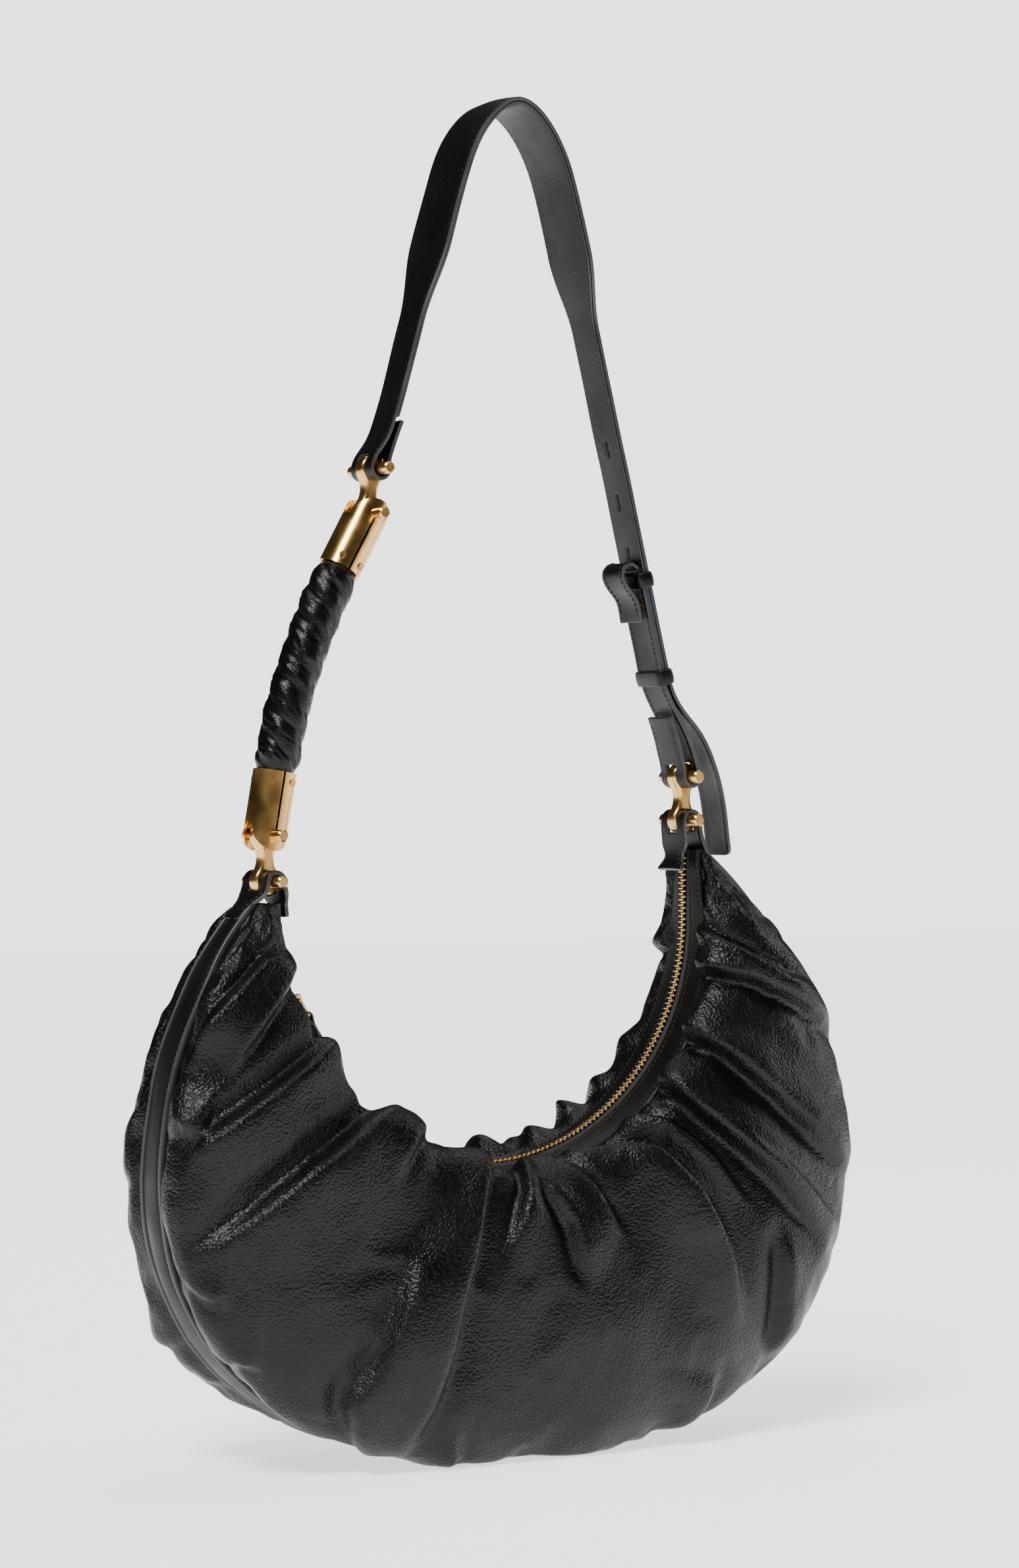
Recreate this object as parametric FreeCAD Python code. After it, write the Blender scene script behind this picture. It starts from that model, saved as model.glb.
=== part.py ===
import FreeCAD, Part
import math
import os

# Hobo bag: a crescent leather bag with gathered front and back panels, a closed metal zip along its
# inner curve, and a shoulder strap hung from it on brass links, ferrules and a twisted leather handle.
# Millimetres. X runs along the bag, -Y is the front, +Z is up, and the origin is where the bag rests.

# ---- driving dimensions -------------------------------------------------------------------------
HALF_LENGTH = 210.0          # half of the bag along X
WAIST_Z = 155.0              # height of the bag's widest point
UPPER_RISE = 213.0           # outline above the widest point: a quarter ellipse of this height
LOWER_DROP = 156.2           # outline below it: a squarer superellipse, cut flat at Z 0
LOWER_POWER = 2.2
LEFT_TIP_Z = 297.5           # where the leather body stops under each end loop
RIGHT_TIP_Z = 323.5
SPINE_HALF = 9.4             # half the width of the band round the outside of the bag
SPINE_THICK = 2.4
PIPING_WIDE = 2.4
PIPING_DEEP = 3.2
PANEL_GAP = 0.9              # from the piping to the panel's edge
WALL = 1.8                   # leather of the two gathered panels
HALF_DEPTH = 60.0            # how far the full panels puff out to each side
TIP_HALF_DEPTH = 13.0

ZIP_X = -9.0                 # the zip runs on a half circle about this centre, then up two short legs
ZIP_Z = 285.0
ZIP_RADIUS = 130.0
CHAIN_HALF = 2.9
PLACKET_HALF = 22.0          # half width of the flat leather along both sides of the zip
PLACKET_TIP_HALF = 11.0
PLACKET_RISE = 3.3

PIN_A = (-144.0, 309.0)      # left end loop of the bag
PIN_B = (-144.0, 333.0)      # lower ferrule
PIN_C = (-83.0, 503.0)       # upper ferrule
PIN_D = (-80.0, 527.0)       # left end of the shoulder strap
PIN_E = (120.0, 364.0)       # right end of the strap, upper eye of the right link
PIN_F = (120.0, 340.0)       # right end loop of the bag, lower eye of the right link
LEFT_PIN_R = 3.2
LEFT_PIN_HALF = 20.5
RIGHT_PIN_R = 3.5
RIGHT_PIN_HALF = 18.0
RUNNING = 0.08               # radial clearance of an eye that turns on its pin
OPEN_EYE = 0.45              # radial clearance of the one eye that closes the strap's loop
EYE_R = 8.0
EYE_PITCH = 24.0
LINK_THICK = 8.0
LINK_WAIST_HALF = 4.0
LOOP_R = 6.3                 # outside of the leather where it goes round a pin
LOOP_SLOT_HALF = 4.6         # the loops are slotted for the links
LOOP_SLOT_R = 8.7

FERRULE_R = 11.5
FERRULE_WALL = 1.5
FERRULE_MOUTH = 34.0         # pin to the mouth that holds the leather
FERRULE_EAR = 8.0            # pin to the rounded ear
CORE_R = 7.0
WRAP_R = 11.8
HANDLE_BEND = 19.5           # degrees that the handle turns between its ferrules

STRAP_OUTER = 2.0            # outer ply of the shoulder strap
STRAP_LINING = 1.65
SHORT_PLY = 3.0
STRAP_HALF = 11.0
SHOULDER_HALF = 19.0
SHOULDER_FROM_Z = 608.0
SHOULDER_FULL_Z = 650.0
LEG_TOP = (59.0, 597.0)      # the right leg of the strap is straight between these two points
LEG_LOW = (104.0, 417.0)
SLOT_PITCH = 30.0
KEEPER_WALL = 1.6
KEEPER_HIGH = 9.0

ALONG_Y = FreeCAD.Vector(0, 1, 0)


# ---- small helpers ------------------------------------------------------------------------------
def at(point, y=0.0):
    """A point of the X-Z plane, moved to y."""
    return FreeCAD.Vector(point[0], y, point[1])


def rod(point, radius, y_from, y_to):
    return Part.makeCylinder(radius, y_to - y_from, at(point, y_from), ALONG_Y)


def spline(points):
    curve = Part.BSplineCurve()
    curve.interpolate(points)
    return curve


def smooth(value, low, high):
    t = min(1.0, max(0.0, (value - low) / (high - low)))
    return t * t * (3 - 2 * t)


def save(name, shape):
    solids = shape.Solids
    assert solids and all(s.isValid() and s.Volume > 0 for s in solids), name
    result = solids[0] if len(solids) == 1 else Part.makeCompound(solids)
    result.exportStep("parts/%s.step" % name)
    print("%-24s %2d solids %10.0f mm3" % (name, len(solids), sum(s.Volume for s in solids)))


def closed_sheet(outer, inner):
    """A solid between two surfaces given as grids of points with matching edges."""
    skins = []
    for grid in (outer, inner):
        surface = Part.BSplineSurface()
        surface.interpolate(grid)
        skins.append(surface)
    faces = [s.toShape() for s in skins]
    u0, u1, v0, v1 = skins[0].bounds()
    a0, a1, b0, b1 = skins[1].bounds()
    pairs = ((skins[0].uIso(u0), skins[1].uIso(a0)), (skins[0].uIso(u1), skins[1].uIso(a1)),
             (skins[0].vIso(v0), skins[1].vIso(b0)), (skins[0].vIso(v1), skins[1].vIso(b1)))
    for near, far in pairs:
        faces.append(Part.makeRuledSurface(near.toShape(), far.toShape()))
    shell = Part.makeShell(faces)
    shell.sewShape()
    solid = Part.makeSolid(shell)
    if solid.Volume < 0:
        solid.reverse()
    return solid


# ---- the bag's outline --------------------------------------------------------------------------
def outline_side(x, z):
    """Above zero outside the outline, with the outline's outward normal."""
    if z >= WAIST_Z:
        p, b = 2.0, UPPER_RISE
    else:
        p, b = LOWER_POWER, LOWER_DROP
    u, v = abs(x) / HALF_LENGTH, abs(z - WAIST_Z) / b
    nx = math.copysign(u ** (p - 1) / HALF_LENGTH, x)
    nz = math.copysign(v ** (p - 1) / b, z - WAIST_Z)
    size = math.hypot(nx, nz)
    value = u ** p + v ** p - 1
    if z < 0 and value < 0:
        return 1.0, (0.0, -1.0)
    return value, (nx / size, nz / size)


def outline_reach(origin, direction, depth):
    """How far the outline, less depth, lies from origin along direction."""
    low, high = 0.0, 2 * HALF_LENGTH
    for _ in range(50):
        mid = (low + high) / 2
        x, z = origin[0] + mid * direction[0], origin[1] + mid * direction[1]
        if outline_side(x, z)[0] > 0:
            high = mid
        else:
            low = mid
    x, z = origin[0] + low * direction[0], origin[1] + low * direction[1]
    nx, nz = outline_side(x, z)[1]
    return low - depth / (nx * direction[0] + nz * direction[1])


FLAT_HALF = HALF_LENGTH * (1 - (WAIST_Z / LOWER_DROP) ** LOWER_POWER) ** (1 / LOWER_POWER)


def outline_points(side, tip_z, depth):
    """Points of one side of the outline, from its flat foot up to its tip, depth inside it."""
    points = [at((side * FLAT_HALF, depth))]
    foot = math.atan2(-WAIST_Z, FLAT_HALF)
    tip = math.asin((tip_z - WAIST_Z) / UPPER_RISE)
    steps = 16
    for i in range(1, steps + 1):
        phi = foot + (tip - foot) * i / steps
        if phi < 0:
            scale = (abs(math.cos(phi)) / HALF_LENGTH) ** LOWER_POWER
            scale += (abs(math.sin(phi)) / LOWER_DROP) ** LOWER_POWER
            reach = scale ** (-1 / LOWER_POWER)
            x, z = reach * math.cos(phi), WAIST_Z + reach * math.sin(phi)
        else:
            x, z = HALF_LENGTH * math.cos(phi), WAIST_Z + UPPER_RISE * math.sin(phi)
        nx, nz = outline_side(x, z)[1]
        points.append(at((side * (x - depth * nx), z - depth * nz)))
    return points


def outline_band(out_depth, in_depth, y_from, y_to):
    """A band that follows the outline from tip to tip, with a flat foot."""
    left_out = outline_points(-1, LEFT_TIP_Z, out_depth)[::-1]
    right_out = outline_points(1, RIGHT_TIP_Z, out_depth)
    right_in = outline_points(1, RIGHT_TIP_Z, in_depth)[::-1]
    left_in = outline_points(-1, LEFT_TIP_Z, in_depth)
    edges = [spline(left_out).toShape(), Part.makeLine(left_out[-1], right_out[0]),
             spline(right_out).toShape(), Part.makeLine(right_out[-1], right_in[0]),
             spline(right_in).toShape(), Part.makeLine(right_in[-1], left_in[0]),
             spline(left_in).toShape(), Part.makeLine(left_in[-1], left_out[0])]
    face = Part.Face(Part.Wire(edges))
    face.translate(FreeCAD.Vector(0, y_from, 0))
    return face.extrude(FreeCAD.Vector(0, y_to - y_from, 0))


# ---- stations along the zip, where the panels' sections stand -----------------------------------
def stations():
    """(origin, direction out of the zip's centre, distance along the zip) from the left tip to the right."""
    found = []
    for z in (LEFT_TIP_Z, 291.0):
        found.append(((ZIP_X, z), (-1.0, 0.0), LEFT_TIP_Z - z))
    leg = LEFT_TIP_Z - ZIP_Z
    for degrees in range(180, 361, 12):
        turn = math.radians(degrees)
        found.append(((ZIP_X, ZIP_Z), (math.cos(turn), math.sin(turn)), leg + ZIP_RADIUS * (turn - math.pi)))
    for z in (295.0, 305.0, 315.0, RIGHT_TIP_Z):
        found.append(((ZIP_X, z), (1.0, 0.0), leg + ZIP_RADIUS * math.pi + z - ZIP_Z))
    return found


ZIP_LENGTH = (LEFT_TIP_Z - ZIP_Z) + math.pi * ZIP_RADIUS + (RIGHT_TIP_Z - ZIP_Z)


def placket_half(along):
    ends = smooth(along, 0, 75) * smooth(ZIP_LENGTH - along, 0, 95)
    return PLACKET_TIP_HALF + (PLACKET_HALF - PLACKET_TIP_HALF) * ends


def half_depth(along):
    fullness = math.sin(math.pi * min(1.0, max(0.0, along / ZIP_LENGTH))) ** 0.8
    return TIP_HALF_DEPTH + (HALF_DEPTH - TIP_HALF_DEPTH) * fullness


def place(station, reach, y):
    origin, direction, _ = station
    return FreeCAD.Vector(origin[0] + reach * direction[0], y, origin[1] + reach * direction[1])


def panel_grid(side, inset, chosen):
    """Points of a puffed panel, from the placket's edge round to the piping, inset from its outside."""
    rows = []
    for station in chosen:
        origin, direction, along = station
        near = ZIP_RADIUS + PLACKET_RISE + 1.3
        far = outline_reach(origin, direction, PIPING_DEEP + PANEL_GAP)
        middle, half = (near + far) / 2, (far - near) / 2
        depth = half_depth(along)
        row = []
        for share in (0.0, 0.05, 0.13, 0.24, 0.37, 0.5, 0.63, 0.76, 0.87, 0.95, 1.0):
            c, s = math.cos(math.pi * share), math.sin(math.pi * share)
            c = math.copysign(abs(c) ** 0.85, c)
            s = abs(s) ** 0.85
            base = placket_half(along) + (SPINE_HALF + 1.3 - placket_half(along)) * (1 - c) / 2
            y = base + (depth - base - inset) * s
            row.append(place(station, middle - (half - inset) * c, side * y))
        rows.append(row)
    return rows


def placket_grid(side, lift):
    rows = []
    for station in stations():
        edge = placket_half(station[2]) - 0.3
        row = []
        for share in (0.0, 0.25, 0.5, 0.75, 1.0):
            y = 6.2 + (edge - 6.2) * share
            rise = PLACKET_RISE * (y / PLACKET_HALF) ** 1.4
            row.append(place(station, ZIP_RADIUS + 0.6 + rise + lift, side * y))
        rows.append(row)
    return rows


def zip_run(section, left_gap=0.0, right_gap=0.0):
    """Sweeps a section of (reach, y) points along the zip: half a turn and its two straight legs."""
    corners = [FreeCAD.Vector(ZIP_X - reach, y, ZIP_Z) for reach, y in section]
    face = Part.Face(Part.makePolygon(corners + corners[:1]))
    bend = face.revolve(at((ZIP_X, ZIP_Z)), FreeCAD.Vector(0, -1, 0), 180)
    left = face.extrude(FreeCAD.Vector(0, 0, LEFT_TIP_Z - ZIP_Z - left_gap))
    far = [FreeCAD.Vector(ZIP_X + reach, y, ZIP_Z) for reach, y in section]
    right = Part.Face(Part.makePolygon(far + far[:1])).extrude(
        FreeCAD.Vector(0, 0, RIGHT_TIP_Z - ZIP_Z - right_gap))
    return bend.fuse([left, right]).removeSplitter()


def block(x_from, x_to, y_from, y_to, z_from, z_to):
    return Part.makeBox(x_to - x_from, y_to - y_from, z_to - z_from, FreeCAD.Vector(x_from, y_from, z_from))


# ---- the leather body ---------------------------------------------------------------------------
def bag_body():
    save("spine_band", outline_band(0.0, SPINE_THICK, -SPINE_HALF, SPINE_HALF))
    for name, side in (("front", -1), ("back", 1)):
        y_from, y_to = sorted((side * (SPINE_HALF + 0.15), side * (SPINE_HALF + 0.15 + PIPING_WIDE)))
        save(name + "_piping", outline_band(0.0, PIPING_DEEP, y_from, y_to))
        outer, inner = panel_grid(side, 0.0, stations()), panel_grid(side, WALL, stations())
        save(name + "_panel", closed_sheet(outer, inner))
        save(name + "_placket", closed_sheet(placket_grid(side, 0.0), placket_grid(side, 1.5)))
        inside = stations()[3:-5]
        save("lining_" + name, closed_sheet(panel_grid(side, 3.0, inside), panel_grid(side, 3.6, inside)))


def inner_pocket():
    """A flat slip pocket that hangs inside the back lining, open at its top."""
    low, high, half = 52.0, 140.0, 72.0
    pouch = block(ZIP_X - half, ZIP_X + half, 24.0, 30.0, low, high)
    hollow = block(ZIP_X - half + 1, ZIP_X + half - 1, 25.0, 29.0, low + 1, high + 1)
    header = block(ZIP_X - 35, ZIP_X + 35, 24.0, 25.0, high, high + 6)
    save("inner_pocket", pouch.cut(hollow).fuse(header).removeSplitter())


# ---- the zip ------------------------------------------------------------------------------------
def zip_parts():
    tape = ((130.3, CHAIN_HALF + 0.1), (130.9, CHAIN_HALF + 0.1), (133.6, 6.2), (134.6, 10.4), (134.0, 10.4),
            (133.0, 6.2))
    teeth = ((128.9, 0.3), (131.8, 0.3), (131.8, CHAIN_HALF), (128.9, CHAIN_HALF))
    for name, side in (("front", -1), ("back", 1)):
        save("zip_tape_" + name, zip_run([(r, side * y) for r, y in tape]))
        save("zip_teeth_" + name, zip_run([(r, side * y) for r, y in teeth], 2.4, 2.6))
    left = block(ZIP_X - 132, ZIP_X - 128.6, -2.8, 2.8, LEFT_TIP_Z - 2.2, LEFT_TIP_Z - 0.2)
    right = block(ZIP_X + 128.6, ZIP_X + 132, -2.8, 2.8, RIGHT_TIP_Z - 2.4, RIGHT_TIP_Z - 0.2)
    save("zip_stops", Part.makeCompound([left, right]))


SLIDER_ANGLE = 197.0         # where the slider rests on the zip's arc
SLIDER_HALF = 5.0            # half its length along the zip
PULL_PIVOT = 121.6           # distance of the pull's hinge from the zip's centre
PULL_ANGLE = 198.5


def polar(reach, degrees, y=0.0):
    turn = math.radians(degrees)
    return FreeCAD.Vector(ZIP_X + reach * math.cos(turn), y, ZIP_Z + reach * math.sin(turn))


def arc_block(r_from, r_to, y_half, from_degrees, to_degrees):
    """A block that is bent round the zip's centre."""
    corners = [polar(r, from_degrees, y) for r, y in
               ((r_from, -y_half), (r_to, -y_half), (r_to, y_half), (r_from, y_half))]
    face = Part.Face(Part.makePolygon(corners + corners[:1]))
    return face.revolve(at((ZIP_X, ZIP_Z)), FreeCAD.Vector(0, -1, 0), to_degrees - from_degrees)


def zip_slider():
    half = math.degrees(SLIDER_HALF / ZIP_RADIUS)
    low, high = SLIDER_ANGLE - half, SLIDER_ANGLE + half
    top = arc_block(126.6, 128.5, 4.6, low, high)
    post = arc_block(128.3, 132.3, 0.15, SLIDER_ANGLE - 0.6, SLIDER_ANGLE + 0.6)
    bottom = arc_block(132.1, 132.8, 2.6, low, high)
    bridge = arc_block(119.9, 127.0, 1.6, PULL_ANGLE - 1.4, PULL_ANGLE + 1.4)
    eye = Part.makeCylinder(0.95, 8, polar(PULL_PIVOT, PULL_ANGLE, -4), ALONG_Y)
    save("zip_slider", top.fuse([post, bottom, bridge]).cut(eye).removeSplitter())


def zip_pull():
    """A wire bail through the slider's bridge, and a flat leather tab hung on it."""
    end_degrees = 217.0
    pivot, end = polar(PULL_PIVOT, PULL_ANGLE), polar(119.5, end_degrees)
    run = end - pivot
    length = run.Length
    across = Part.makeCylinder(0.8, 7, FreeCAD.Vector(0, -3.5, 0), ALONG_Y)
    far = Part.makeCylinder(0.8, 7, FreeCAD.Vector(9, -3.5, 0), ALONG_Y)
    arms = [Part.makeCylinder(0.8, 9, FreeCAD.Vector(0, y, 0), FreeCAD.Vector(1, 0, 0)) for y in (-2.9, 2.9)]
    bail = across.fuse([far] + arms)
    tab_head = Part.makeCylinder(2.0, 8, FreeCAD.Vector(9, -4, 0), ALONG_Y)
    tab = block(8, length, -4.0, 4.0, -1.3, 1.3).fuse(tab_head)
    tab = tab.cut(block(6, 12, -4.2, 4.2, -0.85, 0.85).common(block(6, 9.9, -5, 5, -1, 1)))
    tilt = FreeCAD.Placement(pivot, FreeCAD.Rotation(ALONG_Y, -math.degrees(math.atan2(run.z, run.x))))
    for name, shape in (("zip_pull_bail", bail), ("zip_pull_tab", tab.cut(bail))):
        shape = shape.removeSplitter()
        shape.Placement = tilt
        save(name, shape)


# ---- end loops of the bag -----------------------------------------------------------------------
def slotted_loop(shape, point, pin_radius, half_width):
    """Cuts a leather loop for its pin and for the link that hangs on it."""
    hole = rod(point, pin_radius, -half_width - 1, half_width + 1)
    slot = rod(point, LOOP_SLOT_R, -LOOP_SLOT_HALF, LOOP_SLOT_HALF)
    return shape.cut(hole).cut(slot)


def prism(corners, half_width):
    points = [at(p, -half_width) for p in corners]
    return Part.Face(Part.makePolygon(points + points[:1])).extrude(FreeCAD.Vector(0, 2 * half_width, 0))


def end_loops():
    left_half, right_half = 13.5, 11.5
    neck = prism(((-155.4, 297.9), (-149.9, 304.2), (-138.2, 305.5), (-139.4, 297.9)), left_half)
    loop = rod(PIN_A, LOOP_R, -left_half, left_half).fuse(neck)
    save("left_end_loop", slotted_loop(loop, PIN_A, LEFT_PIN_R, left_half).removeSplitter())
    neck = prism(((115.5, 323.9), (113.9, 338.5), (126.2, 341.0), (129.0, 323.9)), right_half)
    loop = rod(PIN_F, LOOP_R, -right_half, right_half).fuse(neck)
    save("right_end_loop", slotted_loop(loop, PIN_F, RIGHT_PIN_R, right_half).removeSplitter())
    save("left_end_flap", block(-137.3, -135.6, -9, 9, 291.0, 299.5))
    flap = block(115.6, 117.4, -10.5, 10.5, 312.5, 323.6)
    waist = [Part.makeCylinder(14, 4, FreeCAD.Vector(114.5, side * 21.5, 317), FreeCAD.Vector(1, 0, 0))
             for side in (-1, 1)]
    save("right_end_flap", flap.cut(waist[0]).cut(waist[1]))


def pin(name, point, radius, half_length):
    body = rod(point, radius, -half_length, half_length)
    ends = [e for e in body.Edges if e.Closed and abs(e.BoundBox.YLength) < 0.01]
    save(name, body.makeChamfer(0.8, ends))


def link(name, top, bottom, top_clearance, bottom_clearance, top_pin, bottom_pin):
    """A dog-bone brass link: two eyes joined by a waist whose sides are tangent to them."""
    half = EYE_PITCH / 2
    waist_r = (half ** 2 + LINK_WAIST_HALF ** 2 - EYE_R ** 2) / (2 * (EYE_R - LINK_WAIST_HALF))
    reach = EYE_R / (EYE_R + waist_r)
    tx, ty = half - half * reach, (LINK_WAIST_HALF + waist_r) * reach
    y = -LINK_THICK / 2
    spot = lambda u, v: FreeCAD.Vector(v, y, u)
    arcs = [Part.Arc(spot(tx, ty), spot(half + EYE_R, 0), spot(tx, -ty)),
            Part.Arc(spot(tx, -ty), spot(0, -LINK_WAIST_HALF), spot(-tx, -ty)),
            Part.Arc(spot(-tx, -ty), spot(-half - EYE_R, 0), spot(-tx, ty)),
            Part.Arc(spot(-tx, ty), spot(0, LINK_WAIST_HALF), spot(tx, ty))]
    plate = Part.Face(Part.Wire([a.toShape() for a in arcs])).extrude(FreeCAD.Vector(0, LINK_THICK, 0))
    rims = [e for e in plate.Edges if abs(e.BoundBox.YLength) < 0.01]
    plate = plate.makeFillet(2.3, rims)
    tilt = math.degrees(math.atan2(top[0] - bottom[0], top[1] - bottom[1]))
    middle = at(((top[0] + bottom[0]) / 2, (top[1] + bottom[1]) / 2))
    plate.Placement = FreeCAD.Placement(middle, FreeCAD.Rotation(ALONG_Y, tilt))
    for eye, radius in ((top, top_pin + top_clearance), (bottom, bottom_pin + bottom_clearance)):
        plate = plate.cut(rod(eye, radius, -6, 6))
    save(name, plate)


# ---- the handle ---------------------------------------------------------------------------------
def handle_frames():
    """The pin, tilt and direction of the lower and the upper ferrule."""
    chord = math.degrees(math.atan2(PIN_C[0] - PIN_B[0], PIN_C[1] - PIN_B[1]))
    low, high = chord - HANDLE_BEND / 2, chord + HANDLE_BEND / 2
    return (PIN_B, low, 1.0), (PIN_C, high, -1.0)


def on_handle(shape, point, tilt, sign):
    """Places a shape that was made along +Z from the pin on its end of the handle."""
    turn = tilt if sign > 0 else tilt + 180
    shape.Placement = FreeCAD.Placement(at(point), FreeCAD.Rotation(ALONG_Y, turn)).multiply(shape.Placement)
    return shape


def upright(radius, z_from, z_to):
    return Part.makeCylinder(radius, z_to - z_from, FreeCAD.Vector(0, 0, z_from))


SCREW_ANGLES = (58, 122, 238, 302)
SCREW_Z = 29.0


def screw_parts(radius, r_from, r_to):
    made = []
    for degrees in SCREW_ANGLES:
        turn = math.radians(degrees)
        out = FreeCAD.Vector(math.cos(turn), math.sin(turn), 0)
        seat = out * r_from + FreeCAD.Vector(0, 0, SCREW_Z)
        made.append(Part.makeCylinder(radius, r_to - r_from, seat, out))
    return made


def ferrule(name, frame):
    tube = upright(FERRULE_R, -FERRULE_EAR, FERRULE_MOUTH).cut(
        upright(FERRULE_R - FERRULE_WALL, -FERRULE_EAR - 1, FERRULE_MOUTH + 1))
    ear = Part.makeCylinder(10.6, 40, FreeCAD.Vector(0, -20, 2.6), ALONG_Y)
    tube = tube.common(ear.fuse(block(-15, 15, -15, 15, 2.6, 50)))
    for side in (-1, 1):
        x_from, x_to = sorted((side * 6.0, side * 14.0))
        notch = block(x_from, x_to, -5.2, 5.2, -20, 1.0)
        notch_top = Part.makeCylinder(5.2, 8, FreeCAD.Vector(x_from, 0, 1.0), FreeCAD.Vector(1, 0, 0))
        tube = tube.cut(notch.fuse(notch_top))
    tube = tube.cut(Part.makeCylinder(LEFT_PIN_R, 40, FreeCAD.Vector(0, -20, 0), ALONG_Y))
    slit = block(-0.15, 0.15, -15, 15, -20, 0).fuse(block(-0.6, 0.6, -15, 15, 0, 50))
    tube = tube.cut(slit)
    for hole in screw_parts(1.1, 8, 14):
        tube = tube.cut(hole)
    halves = sorted(tube.Solids, key=lambda s: s.CenterOfMass.x * frame[2])
    for part_name, half in (("outer", halves[0]), ("inner", halves[-1])):
        save("%s_ferrule_%s" % (name, part_name), on_handle(half, *frame))
    heads = []
    for head, shank, nick in zip(screw_parts(1.9, FERRULE_R + 0.05, FERRULE_R + 0.95),
                                 screw_parts(1.0, FERRULE_R - FERRULE_WALL + 0.1, FERRULE_R + 0.5),
                                 SCREW_ANGLES):
        slot = block(FERRULE_R + 0.5, FERRULE_R + 2, -0.3, 0.3, SCREW_Z - 3, SCREW_Z + 3)
        slot.rotate(FreeCAD.Vector(), FreeCAD.Vector(0, 0, 1), nick)
        heads.append(head.fuse(shank).cut(slot).removeSplitter())
    save(name + "_ferrule_screws", on_handle(Part.makeCompound(heads), *frame))


def handle_grip():
    """A rope core with a twisted leather wrap, bent between the two ferrules."""
    low, high = handle_frames()
    tilt = math.radians(low[1])
    run = math.hypot(PIN_C[0] - PIN_B[0], PIN_C[1] - PIN_B[1])
    half_bend = math.radians(HANDLE_BEND / 2)
    radius = (run - 2 * FERRULE_MOUTH * math.cos(half_bend)) / (2 * math.sin(half_bend))
    start = (PIN_B[0] + FERRULE_MOUTH * math.sin(tilt), PIN_B[1] + FERRULE_MOUTH * math.cos(tilt))
    centre = at((start[0] + radius * math.cos(tilt), start[1] - radius * math.sin(tilt)))

    def bent(section_radius):
        ring = Part.makeCircle(section_radius, at(start), FreeCAD.Vector(math.sin(tilt), 0, math.cos(tilt)))
        return Part.Face(Part.Wire([ring])).revolve(centre, ALONG_Y, HANDLE_BEND)

    def with_ends(section_radius, end_radius, end_from):
        shape = bent(section_radius)
        for frame in (low, high):
            shape = shape.fuse(on_handle(upright(end_radius, end_from, FERRULE_MOUTH), *frame))
        return shape.removeSplitter()

    core = with_ends(CORE_R, CORE_R, 13.0)
    wrap = with_ends(WRAP_R, FERRULE_R - FERRULE_WALL - 0.2, 18.0)
    save("handle_core", core)
    save("handle_wrap", wrap.cut(with_ends(CORE_R + 0.02, CORE_R + 0.02, 12.0)))


# ---- the shoulder strap -------------------------------------------------------------------------
LEG = (at(LEG_LOW) - at(LEG_TOP)).normalize()            # down the straight right leg
LEG_OUT = FreeCAD.Vector(-LEG.z, 0, LEG.x)               # away from the bag's middle, across the leg
ARCH = ((-80.0, 527.0), (-66.5, 566.0), (-55.0, 606.0), (-43.0, 648.0), (-33.0, 682.0), (-19.0, 713.0),
        (2.0, 728.0), (23.0, 713.0), (36.0, 685.0), (47.5, 642.0), LEG_TOP)
TAIL = (LEG_LOW, (112.5, 401.0), (124.5, 388.0), (134.0, 371.0), (140.5, 349.0), (145.0, 320.0))


def offset_spline(points, start_way, end_way, amount):
    """A spline beside the one through points, amount to the left of its run from first to last."""
    curve = Part.BSplineCurve()
    curve.interpolate(Points=[at(p) for p in points], InitialTangent=start_way, FinalTangent=end_way)
    steps = 4 * (len(points) - 1)
    moved = []
    for i in range(steps + 1):
        t = curve.FirstParameter + (curve.LastParameter - curve.FirstParameter) * i / steps
        way = curve.tangent(t)[0]
        moved.append(curve.value(t) + FreeCAD.Vector(-way.z, 0, way.x) * amount)
    return spline(moved).toShape(), moved[0], moved[-1]


def ribbon(low_offset, high_offset, from_arch, to_tail):
    """The strap's strip between two offsets from its centreline, wide enough for the shoulder part."""
    sides = []
    for amount in (low_offset, high_offset):
        edges, ends = [], []
        if from_arch:
            edge, first, last = offset_spline(ARCH, FreeCAD.Vector(13.5, 0, 39), LEG * 40, amount)
            edges.append(edge)
            ends += [first, last]
        top = at(LEG_TOP) + LEG_OUT * amount
        foot = at(LEG_LOW) + LEG_OUT * amount
        edges.append(Part.makeLine(top, foot))
        ends += [top, foot]
        if to_tail:
            edge, first, last = offset_spline(TAIL, LEG * 20, FreeCAD.Vector(4, 0, -20), amount)
            edges.append(edge)
            ends += [first, last]
        sides.append((edges, ends[0], ends[-1]))
    (low_edges, low_first, low_last), (high_edges, high_first, high_last) = sides
    edges = low_edges + [Part.makeLine(low_last, high_last)]
    edges += high_edges + [Part.makeLine(high_first, low_first)]
    ordered = Part.__sortEdges__(edges)
    face = Part.Face(Part.Wire(ordered))
    face.translate(FreeCAD.Vector(0, -SHOULDER_HALF, 0))
    return face.extrude(FreeCAD.Vector(0, 2 * SHOULDER_HALF, 0)).common(strap_width())


def strap_width():
    """A slab across the strap: narrow at both legs, wide over the shoulder, with a smooth change."""
    steps = 6
    right = [(STRAP_HALF, 250.0)]
    for i in range(steps + 1):
        z = SHOULDER_FROM_Z + (SHOULDER_FULL_Z - SHOULDER_FROM_Z) * i / steps
        half = STRAP_HALF + (SHOULDER_HALF - STRAP_HALF) * smooth(z, SHOULDER_FROM_Z, SHOULDER_FULL_Z)
        right.append((half, z))
    right.append((SHOULDER_HALF, 800.0))
    points = [FreeCAD.Vector(-300, y, z) for y, z in right]
    points += [FreeCAD.Vector(-300, -y, z) for y, z in reversed(right)]
    return Part.Face(Part.makePolygon(points + points[:1])).extrude(FreeCAD.Vector(600, 0, 0))


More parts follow.
